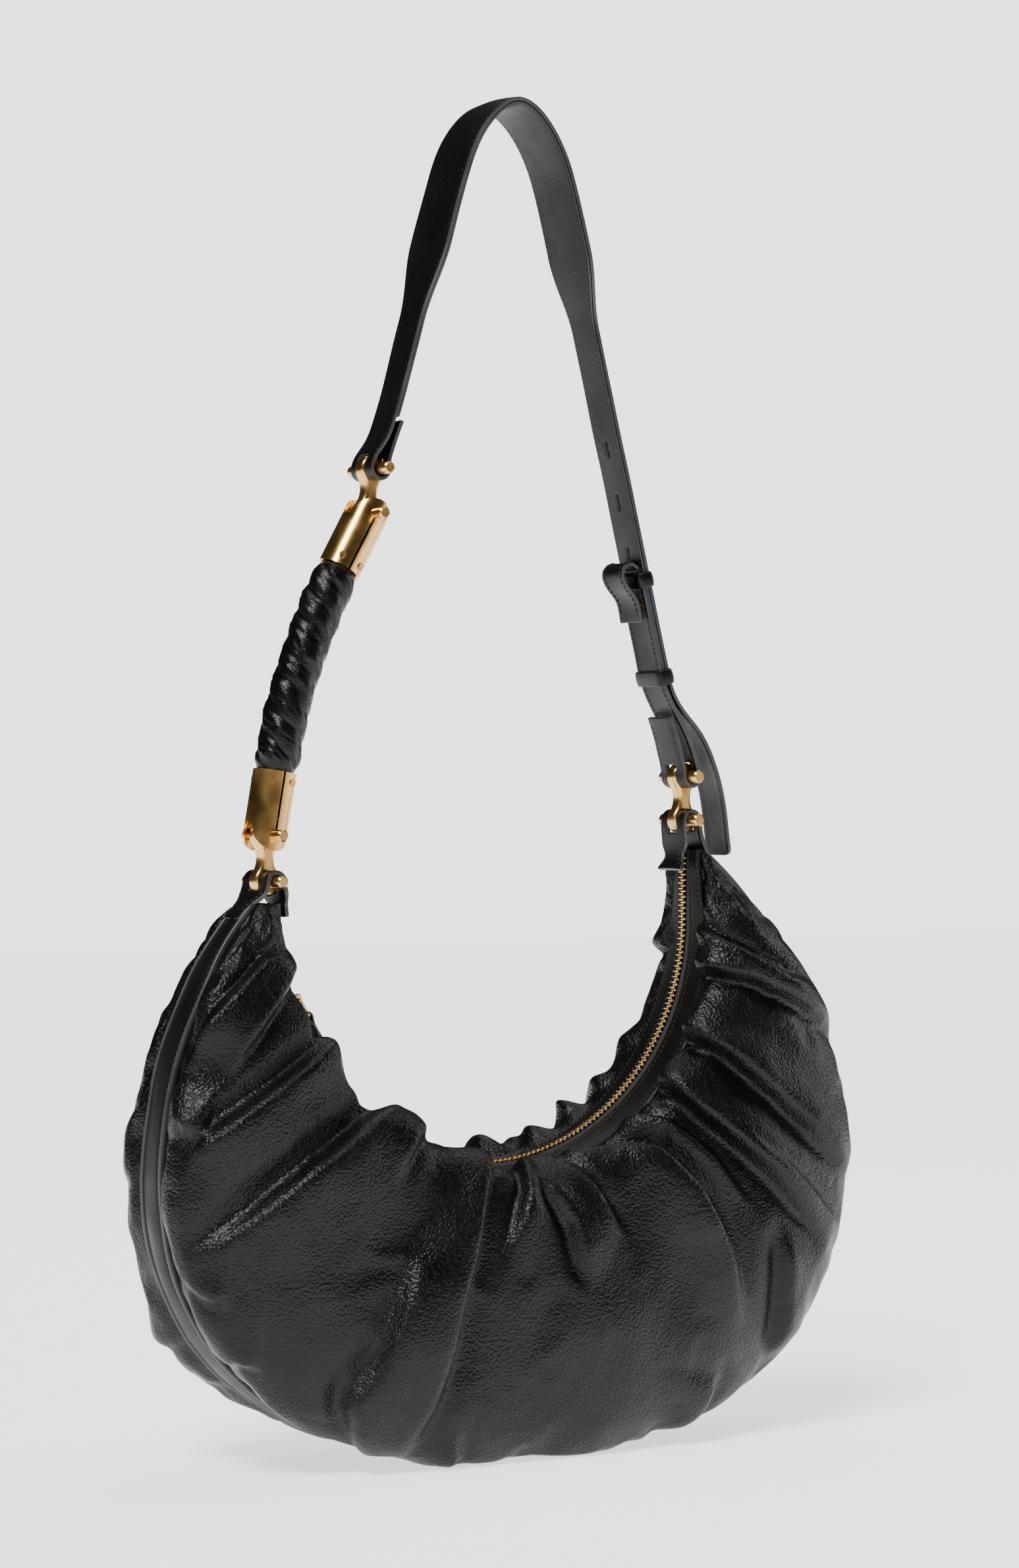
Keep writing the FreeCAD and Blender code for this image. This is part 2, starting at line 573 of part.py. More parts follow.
def on_leg(along, outward):
    """A point of the straight leg: along it from its lower end, and outward from the centreline."""
    return at(LEG_LOW) - LEG * along + LEG_OUT * outward


def leg_block(along_from, along_to, out_from, out_to, half_width):
    corners = [on_leg(along_from, out_from), on_leg(along_to, out_from), on_leg(along_to, out_to),
               on_leg(along_from, out_to)]
    face = Part.Face(Part.makePolygon(corners + corners[:1]))
    face.translate(FreeCAD.Vector(0, -half_width, 0))
    return face.extrude(FreeCAD.Vector(0, 2 * half_width, 0))


STUD_ALONG = 42.0
STUD_R = 1.9
SLOTS = [STUD_ALONG + SLOT_PITCH * i for i in range(4)]
SHORT_OUT = -STRAP_LINING - 0.2
SHORT_IN = SHORT_OUT - SHORT_PLY


def buttonholes(shape):
    for along in SLOTS:
        shape = shape.cut(leg_block(along - 4.5, along + 4.5, -6, 6, 1.4))
    return shape.cut(Part.makeCylinder(STUD_R + 0.15, 12, on_leg(STUD_ALONG, -6), LEG_OUT))


def shoulder_strap():
    outer = ribbon(0.0, STRAP_OUTER, True, True)
    clear = prism(((-110, 500), (-110, 534.5), (-60, 517.5), (-60, 500)), 30)
    outer = outer.cut(clear)
    tail = prism(((-86.0, 531.0), (-82.2, 529.5), (-79.0, 531.5), (-73.7, 530.5), (-66.2, 551.6),
                  (-68.6, 552.5), (-75.0, 536.5), (-80.0, 540.0)), STRAP_HALF)
    loop = rod(PIN_D, LOOP_R, -STRAP_HALF, STRAP_HALF).fuse([tail])
    loop = loop.fuse(outer)
    loop = slotted_loop(loop, PIN_D, LEFT_PIN_R, STRAP_HALF)
    corners = block(100, 180, -STRAP_HALF - 1, STRAP_HALF + 1, 300, 324)
    for side in (-1, 1):
        corners = corners.cut(Part.makeCylinder(4, 60, FreeCAD.Vector(110, side * (STRAP_HALF - 4), 324),
                                                FreeCAD.Vector(1, 0, 0)))
    corners = corners.cut(block(100, 180, -STRAP_HALF + 4, STRAP_HALF - 4, 300, 324))
    save("shoulder_strap", buttonholes(loop).cut(corners).removeSplitter())
    lining = ribbon(-STRAP_LINING, -0.05, True, False)
    lining = lining.cut(prism(((-110, 500), (-110, 572.0), (-40, 548.0), (-40, 500)), 30))
    save("strap_lining", buttonholes(lining).removeSplitter())


def short_strap():
    """Goes round the right link's upper pin and up inside the long strap, through both keepers."""
    straight = leg_block(-3.0, 62.0, SHORT_IN, SHORT_OUT, STRAP_HALF)
    elbow_out, elbow_in = on_leg(-2.9, SHORT_OUT), on_leg(-2.9, SHORT_IN)
    neck = prism(((elbow_in.x, elbow_in.z), (elbow_out.x, elbow_out.z), (125.6, 367.0), (121.0, 365.0)),
                 STRAP_HALF)
    tab = prism(((114.0, 363.0), (117.0, 368.0), (107.5, 397.0), (105.0, 396.2)), STRAP_HALF)
    loop = rod(PIN_E, LOOP_R, -STRAP_HALF, STRAP_HALF).fuse([neck, tab, straight])
    loop = slotted_loop(loop, PIN_E, RIGHT_PIN_R, STRAP_HALF)
    save("short_strap", loop.cut(leg_block(STUD_ALONG - 2.1, STUD_ALONG + 2.1, -8, 6, 2.1)).removeSplitter())


def keeper(name, along):
    room = 0.3
    inner = (SHORT_IN - room, STRAP_OUTER + room)
    ring = leg_block(along, along + KEEPER_HIGH, inner[0] - KEEPER_WALL, inner[1] + KEEPER_WALL,
                     STRAP_HALF + room + KEEPER_WALL)
    hole = leg_block(along - 1, along + KEEPER_HIGH + 1, inner[0], inner[1], STRAP_HALF + room)
    save(name, ring.cut(hole))


def adjuster():
    """The curled end that tucks back over the upper keeper, and the stud that holds the length."""
    back = SHORT_IN - KEEPER_WALL - 0.6
    path = [on_leg(64.5, SHORT_IN + 1.2), on_leg(68.0, SHORT_IN - 2.5), on_leg(66.0, back - 6.5),
            on_leg(58.0, back - 7.0), on_leg(48.0, back - 2.2), on_leg(35.5, back - 2.0)]
    steps = 24
    curve = spline(path)
    sides = ([], [])
    for i in range(steps + 1):
        t = curve.FirstParameter + (curve.LastParameter - curve.FirstParameter) * i / steps
        way = curve.tangent(t)[0]
        for side, amount in zip(sides, (-1.1, 1.1)):
            side.append(curve.value(t) + FreeCAD.Vector(-way.z, 0, way.x) * amount)
    near, far = spline(sides[0]), spline(sides[1])
    edges = [near.toShape(), Part.makeLine(sides[0][-1], sides[1][-1]), far.toShape(),
             Part.makeLine(sides[1][0], sides[0][0])]
    face = Part.Face(Part.Wire(Part.__sortEdges__(edges)))
    face.translate(FreeCAD.Vector(0, -STRAP_HALF + 1, 0))
    save("adjuster_tab", face.extrude(FreeCAD.Vector(0, 2 * STRAP_HALF - 2, 0)))
    stud = Part.makeCylinder(STUD_R, 6.9, on_leg(STUD_ALONG, -5.0), LEG_OUT)
    head = Part.makeCylinder(3.2, 1.1, on_leg(STUD_ALONG, -6.1), LEG_OUT)
    save("adjuster_stud", stud.fuse(head).removeSplitter())


os.makedirs("parts", exist_ok=True)
bag_body()
inner_pocket()
zip_parts()
zip_slider()
zip_pull()
end_loops()
pin("left_base_pin", PIN_A, LEFT_PIN_R, LEFT_PIN_HALF)
pin("lower_ferrule_pin", PIN_B, LEFT_PIN_R, LEFT_PIN_HALF)
pin("upper_ferrule_pin", PIN_C, LEFT_PIN_R, LEFT_PIN_HALF)
pin("left_strap_pin", PIN_D, LEFT_PIN_R, LEFT_PIN_HALF)
pin("right_strap_pin", PIN_E, RIGHT_PIN_R, RIGHT_PIN_HALF)
pin("right_base_pin", PIN_F, RIGHT_PIN_R, RIGHT_PIN_HALF)
link("lower_left_link", PIN_B, PIN_A, RUNNING, RUNNING, LEFT_PIN_R, LEFT_PIN_R)
link("upper_left_link", PIN_D, PIN_C, RUNNING, RUNNING, LEFT_PIN_R, LEFT_PIN_R)
link("right_link", PIN_E, PIN_F, RUNNING, OPEN_EYE, RIGHT_PIN_R, RIGHT_PIN_R)
ferrule("lower", handle_frames()[0])
ferrule("upper", handle_frames()[1])
handle_grip()
shoulder_strap()
short_strap()
keeper("upper_keeper", 53.0)
keeper("lower_keeper", -2.0)
adjuster()
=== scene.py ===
# Hobo bag: a crescent of gathered black leather with a closed curved zip, hung from a shoulder strap
# by brass links, two-part brass ferrules and a twisted leather grip. Metres; -Y is the front, +Z up.
import math

import bmesh
import bpy
import numpy as np
from mathutils import Matrix, Vector, noise


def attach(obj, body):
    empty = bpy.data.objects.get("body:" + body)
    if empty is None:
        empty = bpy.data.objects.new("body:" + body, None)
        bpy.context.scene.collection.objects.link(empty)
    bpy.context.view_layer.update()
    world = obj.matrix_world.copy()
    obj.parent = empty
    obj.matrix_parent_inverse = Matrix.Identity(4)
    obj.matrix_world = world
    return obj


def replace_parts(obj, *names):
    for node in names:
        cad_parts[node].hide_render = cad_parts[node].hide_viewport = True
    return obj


# ---- camera -------------------------------------------------------------------------------------
# A long lens, level with the upper part of the bag, from the front and well round to the left.
TURN = math.radians(-32.0)
EYE_HEIGHT, EYE_DISTANCE, EYE_SHIFT = 0.360, 2.2, 0.0059
SIDEWAYS = Vector((math.cos(TURN), math.sin(TURN), 0))
FORWARD = Vector((-math.sin(TURN), math.cos(TURN), 0))


def add_object(name, data):
    thing = bpy.data.objects.new(name, data)
    bpy.context.scene.collection.objects.link(thing)
    return thing


camera_data = bpy.data.cameras.new("camera")
camera_data.sensor_width = 36.0
camera_data.lens = 93.2
camera_data.clip_end = 20.0
camera = add_object("camera", camera_data)
camera.location = Vector((0, 0, EYE_HEIGHT)) + SIDEWAYS * EYE_SHIFT - FORWARD * EYE_DISTANCE
camera.rotation_euler = (math.radians(90), 0, TURN)
bpy.context.scene.camera = camera

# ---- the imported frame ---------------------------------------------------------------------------
# The CAD model of the same bag. Pieces whose shape is right keep their CAD mesh; the soft ones are
# stood for by the leather made below.
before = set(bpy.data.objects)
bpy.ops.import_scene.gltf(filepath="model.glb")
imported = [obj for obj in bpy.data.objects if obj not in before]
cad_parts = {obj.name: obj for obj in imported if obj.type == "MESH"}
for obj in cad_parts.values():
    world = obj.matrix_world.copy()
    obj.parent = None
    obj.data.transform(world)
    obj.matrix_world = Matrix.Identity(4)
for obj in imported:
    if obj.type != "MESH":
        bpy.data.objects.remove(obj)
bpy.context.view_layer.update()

# ---- studio -------------------------------------------------------------------------------------
# A white floor that runs into white air, one big soft light from the front left, one from above and
# a long strip on the right that draws the edges of the dark leather. The air is bright to look at but
# lights the bag only a little, so that the black stays deep.


def baked(name, shape):
    """The mesh of a bmesh, which is then freed."""
    mesh = bpy.data.meshes.new(name)
    shape.to_mesh(mesh)
    shape.free()
    return mesh


room = bmesh.new()
bmesh.ops.create_grid(room, x_segments=1, y_segments=1, size=6.0)
floor_mesh = baked("floor", room)
floor = add_object("floor", floor_mesh)
floor_paint = bpy.data.materials.new("studio_floor")
floor_paint.use_nodes = True
floor_shader = floor_paint.node_tree.nodes["Principled BSDF"]
floor_shader.inputs["Base Color"].default_value = (0.93, 0.93, 0.93, 1)
floor_shader.inputs["Roughness"].default_value = 0.9
floor_shader.inputs["Emission Color"].default_value = (1, 1, 1, 1)
floor_shader.inputs["Emission Strength"].default_value = 1.3
floor_mesh.materials.append(floor_paint)

world = bpy.data.worlds.new("studio")
bpy.context.scene.world = world
world.use_nodes = True
air = world.node_tree.nodes["Background"]
air.inputs["Color"].default_value = (1, 1, 1, 1)
air.inputs["Strength"].default_value = 0.05
seen = world.node_tree.nodes.new("ShaderNodeBackground")
seen.inputs["Strength"].default_value = 3.4
ray = world.node_tree.nodes.new("ShaderNodeLightPath")
either = world.node_tree.nodes.new("ShaderNodeMixShader")
for source, socket in zip((ray.outputs["Is Camera Ray"], air.outputs[0], seen.outputs[0]), either.inputs):
    world.node_tree.links.new(source, socket)
world.node_tree.links.new(either.outputs[0], world.node_tree.nodes["World Output"].inputs["Surface"])


def studio_light(name, place, aim, size, height, power):
    data = bpy.data.lights.new(name, "AREA")
    data.shape = "RECTANGLE"
    data.size = size
    data.size_y = height
    data.energy = power
    lamp = add_object(name, data)
    lamp.location = place
    lamp.rotation_mode = "QUATERNION"
    lamp.rotation_quaternion = (Vector(aim) - Vector(place)).to_track_quat("-Z", "Y")


def sky_light(name, way, spread, strength):
    """Light from the direction way, as wide in the sky as spread degrees."""
    data = bpy.data.lights.new(name, "SUN")
    data.angle = math.radians(spread)
    data.energy = strength
    lamp = add_object(name, data)
    lamp.rotation_mode = "QUATERNION"
    lamp.rotation_quaternion = (-Vector(way)).to_track_quat("-Z", "Y")


sky_light("key", (-1.0, -0.75, 1.5), 20, 3.9)
sky_light("top", (0.5, 0.5, 1.8), 50, 1.1)
studio_light("edge", (1.7, -0.2, 0.9), (0, 0, 0.25), 0.35, 1.4, 10)

# ---- leather ------------------------------------------------------------------------------------
# Drum-dyed black leather. The panels' hide is milled to a soft pebbled grain about 1.5 mm across;
# the bands, strap and trim are the same hide, ironed smoother. Grain is bumped, and its base colour
# is painted darker in the pits and lighter on the crowns: painted shade of the grain.


def new_paint(name):
    """A new material with its node tree, its shader and its object coordinates."""
    paint = bpy.data.materials.new(name)
    paint.use_nodes = True
    tree = paint.node_tree
    return paint, tree, tree.nodes["Principled BSDF"], tree.nodes.new("ShaderNodeTexCoord").outputs["Object"]


def noise_field(tree, place, scale, detail):
    field = tree.nodes.new("ShaderNodeTexNoise")
    field.inputs["Scale"].default_value = scale
    field.inputs["Detail"].default_value = detail
    tree.links.new(place, field.inputs["Vector"])
    return field


def remap(tree, source, from_min, from_max, to_min, to_max):
    span = tree.nodes.new("ShaderNodeMapRange")
    span.inputs["From Min"].default_value = from_min
    span.inputs["From Max"].default_value = from_max
    span.inputs["To Min"].default_value = to_min
    span.inputs["To Max"].default_value = to_max
    tree.links.new(source, span.inputs["Value"])
    return span.outputs[0]


def blend_tones(tree, shader, share, low, high):
    """The base colour runs from low to high as share runs from 0 to 1."""
    dye = tree.nodes.new("ShaderNodeMix")
    dye.data_type = "RGBA"
    dye.inputs["A"].default_value = (*low, 1)
    dye.inputs["B"].default_value = (*high, 1)
    tree.links.new(share, dye.inputs["Factor"])
    tree.links.new(dye.outputs["Result"], shader.inputs["Base Color"])


def add_bump(tree, shader, height, strength, depth):
    bump = tree.nodes.new("ShaderNodeBump")
    bump.inputs["Strength"].default_value = strength
    bump.inputs["Distance"].default_value = depth
    tree.links.new(height, bump.inputs["Height"])
    tree.links.new(bump.outputs["Normal"], shader.inputs["Normal"])


def leather(name, pebble, depth, gloss, tone=(0.0020, 0.0017, 0.0016)):
    """pebble is the grain's size in metres, depth its height, gloss the roughness of its crowns."""
    paint, tree, shader, place = new_paint(name)
    bend = noise_field(tree, place, 0.45 / pebble, 2)
    wander = tree.nodes.new("ShaderNodeVectorMath")
    wander.operation = "MULTIPLY_ADD"
    wander.inputs[1].default_value = (pebble * 0.6,) * 3
    tree.links.new(bend.outputs["Color"], wander.inputs[0])
    tree.links.new(place, wander.inputs[2])
    cells = tree.nodes.new("ShaderNodeTexVoronoi")
    cells.feature = "SMOOTH_F1"
    cells.inputs["Scale"].default_value = 1 / pebble
    cells.inputs["Smoothness"].default_value = 0.55
    tree.links.new(wander.outputs[0], cells.inputs["Vector"])
    crown = remap(tree, cells.outputs["Distance"], 0.0, 0.75, 1.0, 0.0)
    height = tree.nodes.new("ShaderNodeMath")
    height.operation = "MULTIPLY_ADD"
    height.inputs[1].default_value = 0.22
    tree.links.new(noise_field(tree, place, 3.2 / pebble, 3).outputs["Fac"], height.inputs[0])
    tree.links.new(crown, height.inputs[2])
    add_bump(tree, shader, height.outputs[0], 0.8, depth)
    patch = noise_field(tree, place, 38, 4).outputs["Fac"]
    tree.links.new(remap(tree, patch, 0.3, 0.7, gloss - 0.05, gloss + 0.09), shader.inputs["Roughness"])
    # painted shade: the base colour is darker in the grain's pits and lighter on its crowns, following its
    # height
    blend_tones(tree, shader, crown, [c * 0.55 for c in tone], [c * 1.35 for c in tone])
    shader.inputs["Specular IOR Level"].default_value = 0.25
    return paint


grained = leather("grained_leather", 0.00150, 0.00040, 0.36)
smooth = leather("smooth_leather", 0.00075, 0.00007, 0.44)

# ---- the gathered panels ------------------------------------------------------------------------
# Front and back are each one hide, cut larger than the space they fill. Their short edge is gathered
# into the flat leather beside the zip and their long edge into the welt round the outside, so the
# surplus stands in puffs, laps and creases. Cloth simulation under slight pressure settles them.
HALF_LENGTH = 0.210
WAIST_Z = 0.155
UPPER_RISE = 0.213
LOWER_DROP = 0.1562
LOWER_POWER = 2.2
LEFT_TIP_Z = 0.2975
RIGHT_TIP_Z = 0.3235
ZIP_CENTRE = Vector((-0.009, 0, 0.285))
ZIP_RADIUS = 0.130
LEG = LEFT_TIP_Z - ZIP_CENTRE.z
ZIP_LENGTH = LEG + math.pi * ZIP_RADIUS + RIGHT_TIP_Z - ZIP_CENTRE.z
SPINE_HALF = 0.0094
PANEL_INSET = 0.0046
EDGE_DEPTH = 0.0016
FLOOR_CLEARANCE = 0.0006


def ease(value, low, high):
    """Runs smoothly from 0 at low to 1 at high."""
    t = min(1.0, max(0.0, (value - low) / (high - low)))
    return t * t * (3 - 2 * t)


def outline_normal(x, z):
    """How far outside the bag's outline a point is, and the outline's outward normal there."""
    power, rise = (2.0, UPPER_RISE) if z >= WAIST_Z else (LOWER_POWER, LOWER_DROP)
    u, v = abs(x) / HALF_LENGTH, abs(z - WAIST_Z) / rise
    way = Vector((math.copysign(u ** (power - 1) / HALF_LENGTH, x), 0,
                  math.copysign(v ** (power - 1) / rise, z - WAIST_Z))).normalized()
    value = u ** power + v ** power - 1
    return (1.0, Vector((0, 0, -1))) if z < 0 and value < 0 else (value, way)


def zip_station(along):
    """The point at a distance along the zip's run, as its centre and its direction outward."""
    if along < LEG:
        return Vector((ZIP_CENTRE.x, 0, LEFT_TIP_Z - along)), Vector((-1, 0, 0))
    turned = (along - LEG) / ZIP_RADIUS
    if turned < math.pi:
        return ZIP_CENTRE.copy(), Vector((-math.cos(turned), 0, -math.sin(turned)))
    return ZIP_CENTRE + Vector((0, 0, along - LEG - math.pi * ZIP_RADIUS)), Vector((1, 0, 0))


def outline_reach(origin, way, depth):
    """The distance from origin, going way, at which the outline is still depth away."""
    low, high = 0.0, 2 * HALF_LENGTH
    for _ in range(36):
        mid = (low + high) / 2
        spot = origin + way * mid
        if outline_normal(spot.x, spot.z)[0] > 0:
            high = mid
        else:
            low = mid
    spot = origin + way * low
    return low - depth / outline_normal(spot.x, spot.z)[1].dot(way)


def placket_half(along):
    """Half the width of the flat leather on both sides of the zip, at a distance along its run."""
    return 0.011 + 0.011 * ease(along, 0, 0.075) * ease(ZIP_LENGTH - along, 0, 0.095)


def panel_row(u):
    """What a panel's cross-section needs at share u of the zip's run."""
    along = u * ZIP_LENGTH
    origin, way = zip_station(along)
    near, far = ZIP_RADIUS + PANEL_INSET, outline_reach(origin, way, EDGE_DEPTH)
    full = 0.013 + 0.047 * math.sin(math.pi * min(1.0, max(0.0, u))) ** 0.8
    return origin, way, near, far, placket_half(along), full


def panel_spot(row, v, side):
    """The smooth panel at share v of the way from the zip round to the welt; side -1 is the front."""
    origin, way, near, far, edge, full = row
    middle, half = (near + far) / 2, (far - near) / 2
    c, s = math.cos(math.pi * v), math.sin(math.pi * v)
    square = 0.85 - 0.20 * ease(v, 0.5, 0.9)
    c, s = math.copysign(abs(c) ** square, c), abs(s) ** square
    base = edge + (SPINE_HALF + 0.0008 - edge) * (1 - c) / 2
    return origin + way * (middle - half * c) + Vector((0, side * (base + (full - base) * s), 0))


# Each puff of the back panel that leans in over the placket: share of the zip's run, reach, half width.
BACK_PUFFS = ((0.475, 0.008, 0.022), (0.530, 0.017, 0.026), (0.592, 0.016, 0.018), (0.648, 0.015, 0.016),
              (0.700, 0.009, 0.016), (0.760, 0.006, 0.018))


def overhang(u, v, side):
    """How far a puff leans in over the placket, and how far it swells out past the spine band."""
    if side < 0:
        lean = 0.0065 * ease(u, 0.06, 0.13) + 0.0070 * ease(u, 0.20, 0.26)
        lean = (lean - 0.002) * (1 - ease(u, 0.455, 0.53)) + 0.002
        lean *= 0.85 + 0.5 * noise.noise(Vector((u * 17, 11 * side, 0.5)))
    else:
        lean = 0.004 + sum(reach * math.exp(-((u - at) / wide) ** 2) for at, reach, wide in BACK_PUFFS)
    lean *= math.sin(math.pi * min(1.0, v / 0.40)) ** 1.3 * (v < 0.40)
    swell = (0.0035 + 0.0030 * noise.noise(Vector((u * 19, 4 * side, 8)))) * min(1.0, 12 * u * (1 - u))
    return lean, swell * ease(v, 0.62, 0.84) * (1 - ease(v, 0.90, 1.0))


# Each lap: points (u, v) along its crease, then how high the puff beside it stands, how wide it is,
# and on which side of the crease it stands (1 is towards the right end of the bag). u is the share of
# the zip's run, v the share of the way from the zip to the welt.
FRONT_LAPS = (
    (((0.440, 0.00), (0.412, 0.28), (0.405, 0.45), (0.403, 0.60), (0.398, 0.94)), 0.0088, 0.024, -1),
    (((0.275, 0.00), (0.245, 0.25), (0.230, 0.44), (0.225, 0.60), (0.222, 0.90)), 0.0090, 0.022, 1),
    (((0.150, 0.00), (0.158, 0.30), (0.162, 0.50), (0.167, 0.70), (0.175, 0.88)), 0.0070, 0.017, 1),
    (((0.075, 0.00), (0.085, 0.20), (0.115, 0.45), (0.145, 0.62)), 0.0050, 0.011, -1),
    (((0.050, 0.10), (0.055, 0.50), (0.100, 0.80), (0.130, 0.90)), 0.0040, 0.009, 1),
    (((0.345, 0.00), (0.318, 0.18), (0.306, 0.34)), 0.0058, 0.013, -1),
    (((0.470, 0.04), (0.455, 0.24), (0.430, 0.38)), 0.0050, 0.013, 1),
    (((0.560, 0.06), (0.606, 0.10), (0.640, 0.20), (0.648, 0.36), (0.640, 0.50), (0.624, 0.66)),
     0.0100, 0.015, -1),
    (((0.470, 0.16), (0.500, 0.30), (0.505, 0.46)), 0.0050, 0.014, 1),
    (((0.520, 0.04), (0.545, 0.20), (0.562, 0.38)), 0.0050, 0.012, -1),
    (((0.650, 0.00), (0.672, 0.16), (0.680, 0.34), (0.676, 0.52)), 0.0055, 0.010, -1),
    (((0.700, 0.00), (0.697, 0.22), (0.702, 0.48), (0.700, 0.74)), 0.0072, 0.014, 1),
    (((0.770, 0.00), (0.765, 0.26), (0.752, 0.52), (0.742, 0.84)), 0.0068, 0.015, 1),
    (((0.850, 0.00), (0.850, 0.34), (0.838, 0.60), (0.825, 0.85)), 0.0058, 0.012, 1),
    (((0.915, 0.02), (0.888, 0.34), (0.865, 0.55), (0.860, 0.75)), 0.0045, 0.010, -1),
    (((0.712, 0.36), (0.722, 0.56), (0.722, 0.84)), 0.0030, 0.007, -1),
    (((0.680, 0.54), (0.656, 0.66), (0.632, 0.82)), 0.0055, 0.013, 1),
    (((0.225, 1.00), (0.250, 0.84), (0.262, 0.74)), 0.0050, 0.011, 1),
    (((0.285, 1.00), (0.290, 0.88), (0.300, 0.80)), 0.0045, 0.011, 1),
    (((0.385, 1.00), (0.355, 0.78), (0.335, 0.66)), 0.0055, 0.015, -1),
    (((0.445, 1.00), (0.432, 0.88), (0.424, 0.70)), 0.0056, 0.011, 1),
    (((0.345, 0.40), (0.352, 0.60), (0.345, 0.80)), 0.0052, 0.020, 1),
    (((0.600, 0.70), (0.585, 0.82), (0.560, 0.94)), 0.0046, 0.014, -1),
    (((0.165, 1.00), (0.162, 0.84), (0.176, 0.68)), 0.0040, 0.010, 1),
    (((0.560, 1.00), (0.556, 0.90), (0.545, 0.82)), 0.0030, 0.013, 1),
)
BACK_LAPS = (
    (((0.130, 0.00), (0.150, 0.30), (0.160, 0.60), (0.165, 0.90)), 0.0060, 0.015, 1),
    (((0.230, 0.00), (0.235, 0.30), (0.225, 0.60)), 0.0060, 0.018, -1),
    (((0.330, 0.00), (0.345, 0.25), (0.340, 0.50), (0.330, 0.80)), 0.0070, 0.020, 1),
    (((0.420, 0.00), (0.430, 0.20), (0.445, 0.40)), 0.0065, 0.013, -1),
    (((0.500, 0.10), (0.505, 0.30), (0.520, 0.50), (0.525, 0.75)), 0.0085, 0.024, 1),
    (((0.575, 0.10), (0.585, 0.20), (0.600, 0.40)), 0.0070, 0.022, -1),
    (((0.640, 0.14), (0.645, 0.28), (0.650, 0.50), (0.645, 0.80)), 0.0055, 0.020, 1),
    (((0.700, 0.20), (0.705, 0.32), (0.712, 0.50)), 0.0040, 0.016, -1),
    (((0.765, 0.22), (0.765, 0.38), (0.755, 0.60), (0.750, 0.85)), 0.0048, 0.018, 1),
    (((0.825, 0.24), (0.825, 0.40), (0.820, 0.62)), 0.0036, 0.015, -1),
    (((0.880, 0.00), (0.870, 0.40), (0.860, 0.75)), 0.0045, 0.010, 1),
    (((0.280, 1.00), (0.285, 0.80), (0.290, 0.65)), 0.0045, 0.013, 1),
    (((0.470, 1.00), (0.465, 0.82), (0.455, 0.70)), 0.0045, 0.015, -1),
    (((0.070, 0.10), (0.085, 0.40), (0.100, 0.70)), 0.0040, 0.010, 1),
)
PANEL_ALONG = 230
PANEL_ACROSS = 84
LAP_GAIN = 1.20
PROUDEST, DEEPEST = 0.012, 0.0026


def lap_push(spots, normals, side, laps):
    """How far each point of the panel moves along its normal for the laps and puffs."""
    push = np.zeros(len(spots))
    for points, high, wide, stands in laps:
        route = []
        for (u0, v0), (u1, v1) in zip(points, points[1:]):
            for i in range(6):
                t = i / 6
                route.append(panel_spot(panel_row(u0 + (u1 - u0) * t), v0 + (v1 - v0) * t, side))
        route.append(panel_spot(panel_row(points[-1][0]), points[-1][1], side))
        line = np.array([tuple(p) for p in route])
        count = len(line) - 1
        best = np.full(len(spots), 1e9)
        signed = np.zeros(len(spots))
        share = np.zeros(len(spots))
        for i in range(count):
            a, ab = line[i], line[i + 1] - line[i]
            t = np.clip(((spots - a) @ ab) / (ab @ ab), 0, 1)
            away = spots - (a + t[:, None] * ab)
            distance = np.linalg.norm(away, axis=1)
            nearer = distance < best
            turn = np.sign(np.einsum("ij,ij->i", np.cross(normals, np.broadcast_to(ab, spots.shape)), away))
            best = np.where(nearer, distance, best)
            signed = np.where(nearer, distance * turn, signed)
            share = np.where(nearer, (i + t) / count, share)
        opens_low = points[0][1] <= 0.06 or points[0][1] >= 0.99
        fade = np.clip((1 - share) / 0.35, 0, 1) * (1.0 if opens_low else np.clip(share / 0.3, 0, 1))
        fade = fade * fade * (3 - 2 * fade)
        d = signed * (-side * stands)
        above = np.maximum(d, 0)
        puff = 1.62 * np.exp(-(above / (wide * 1.25)) ** 1.3) * (1 - np.exp(-above / (wide * 0.19)))
        groove = np.exp(-(np.where(d > 0, d / (wide * 0.15), d / (wide * 0.45))) ** 2)
        push += LAP_GAIN * high * fade * (puff - 0.55 * groove)
    limit = np.where(push > 0, PROUDEST, DEEPEST)
    return np.tanh(push / limit) * limit


def settle(piece, frames, pressure, cap):
    """Runs the panel as cloth, held along its seams, and keeps each point within cap of its start."""
    start = np.array([tuple(v.co) for v in piece.data.vertices])
    cloth = piece.modifiers.new("cloth", "CLOTH")
    settings = cloth.settings
    settings.quality = 5
    settings.mass = 0.25
    settings.tension_stiffness = 22
    settings.compression_stiffness = 22
    settings.shear_stiffness = 8
    settings.bending_stiffness = 1.6
    settings.tension_damping = 12
    settings.compression_damping = 12
    settings.air_damping = 4
    settings.use_pressure = True
    settings.uniform_pressure_force = pressure
    settings.vertex_group_mass = "seams"
    settings.vertex_group_shrink = "gathers"
    settings.shrink_min = -0.02
    settings.shrink_max = -0.24
    settings.effector_weights.gravity = 0
    cloth.collision_settings.use_collision = False
    cloth.collision_settings.use_self_collision = False
    cloth.point_cache.frame_start = 1
    cloth.point_cache.frame_end = frames
    for step in range(1, frames + 1):
        bpy.context.scene.frame_set(step)
    moved = piece.evaluated_get(bpy.context.evaluated_depsgraph_get())
    ends = np.array([tuple(v.co) for v in moved.data.vertices])
    piece.modifiers.remove(cloth)
    bpy.context.scene.frame_set(1)
    shift = ends - start
    length = np.linalg.norm(shift, axis=1)
    shift *= (np.minimum(length, cap) / np.maximum(length, 1e-9))[:, None]
    ends = start + shift
    ends[:, 2] = np.maximum(ends[:, 2], FLOOR_CLEARANCE)
    piece.data.vertices.foreach_set("co", ends.astype(np.float32).ravel())
    piece.data.update()


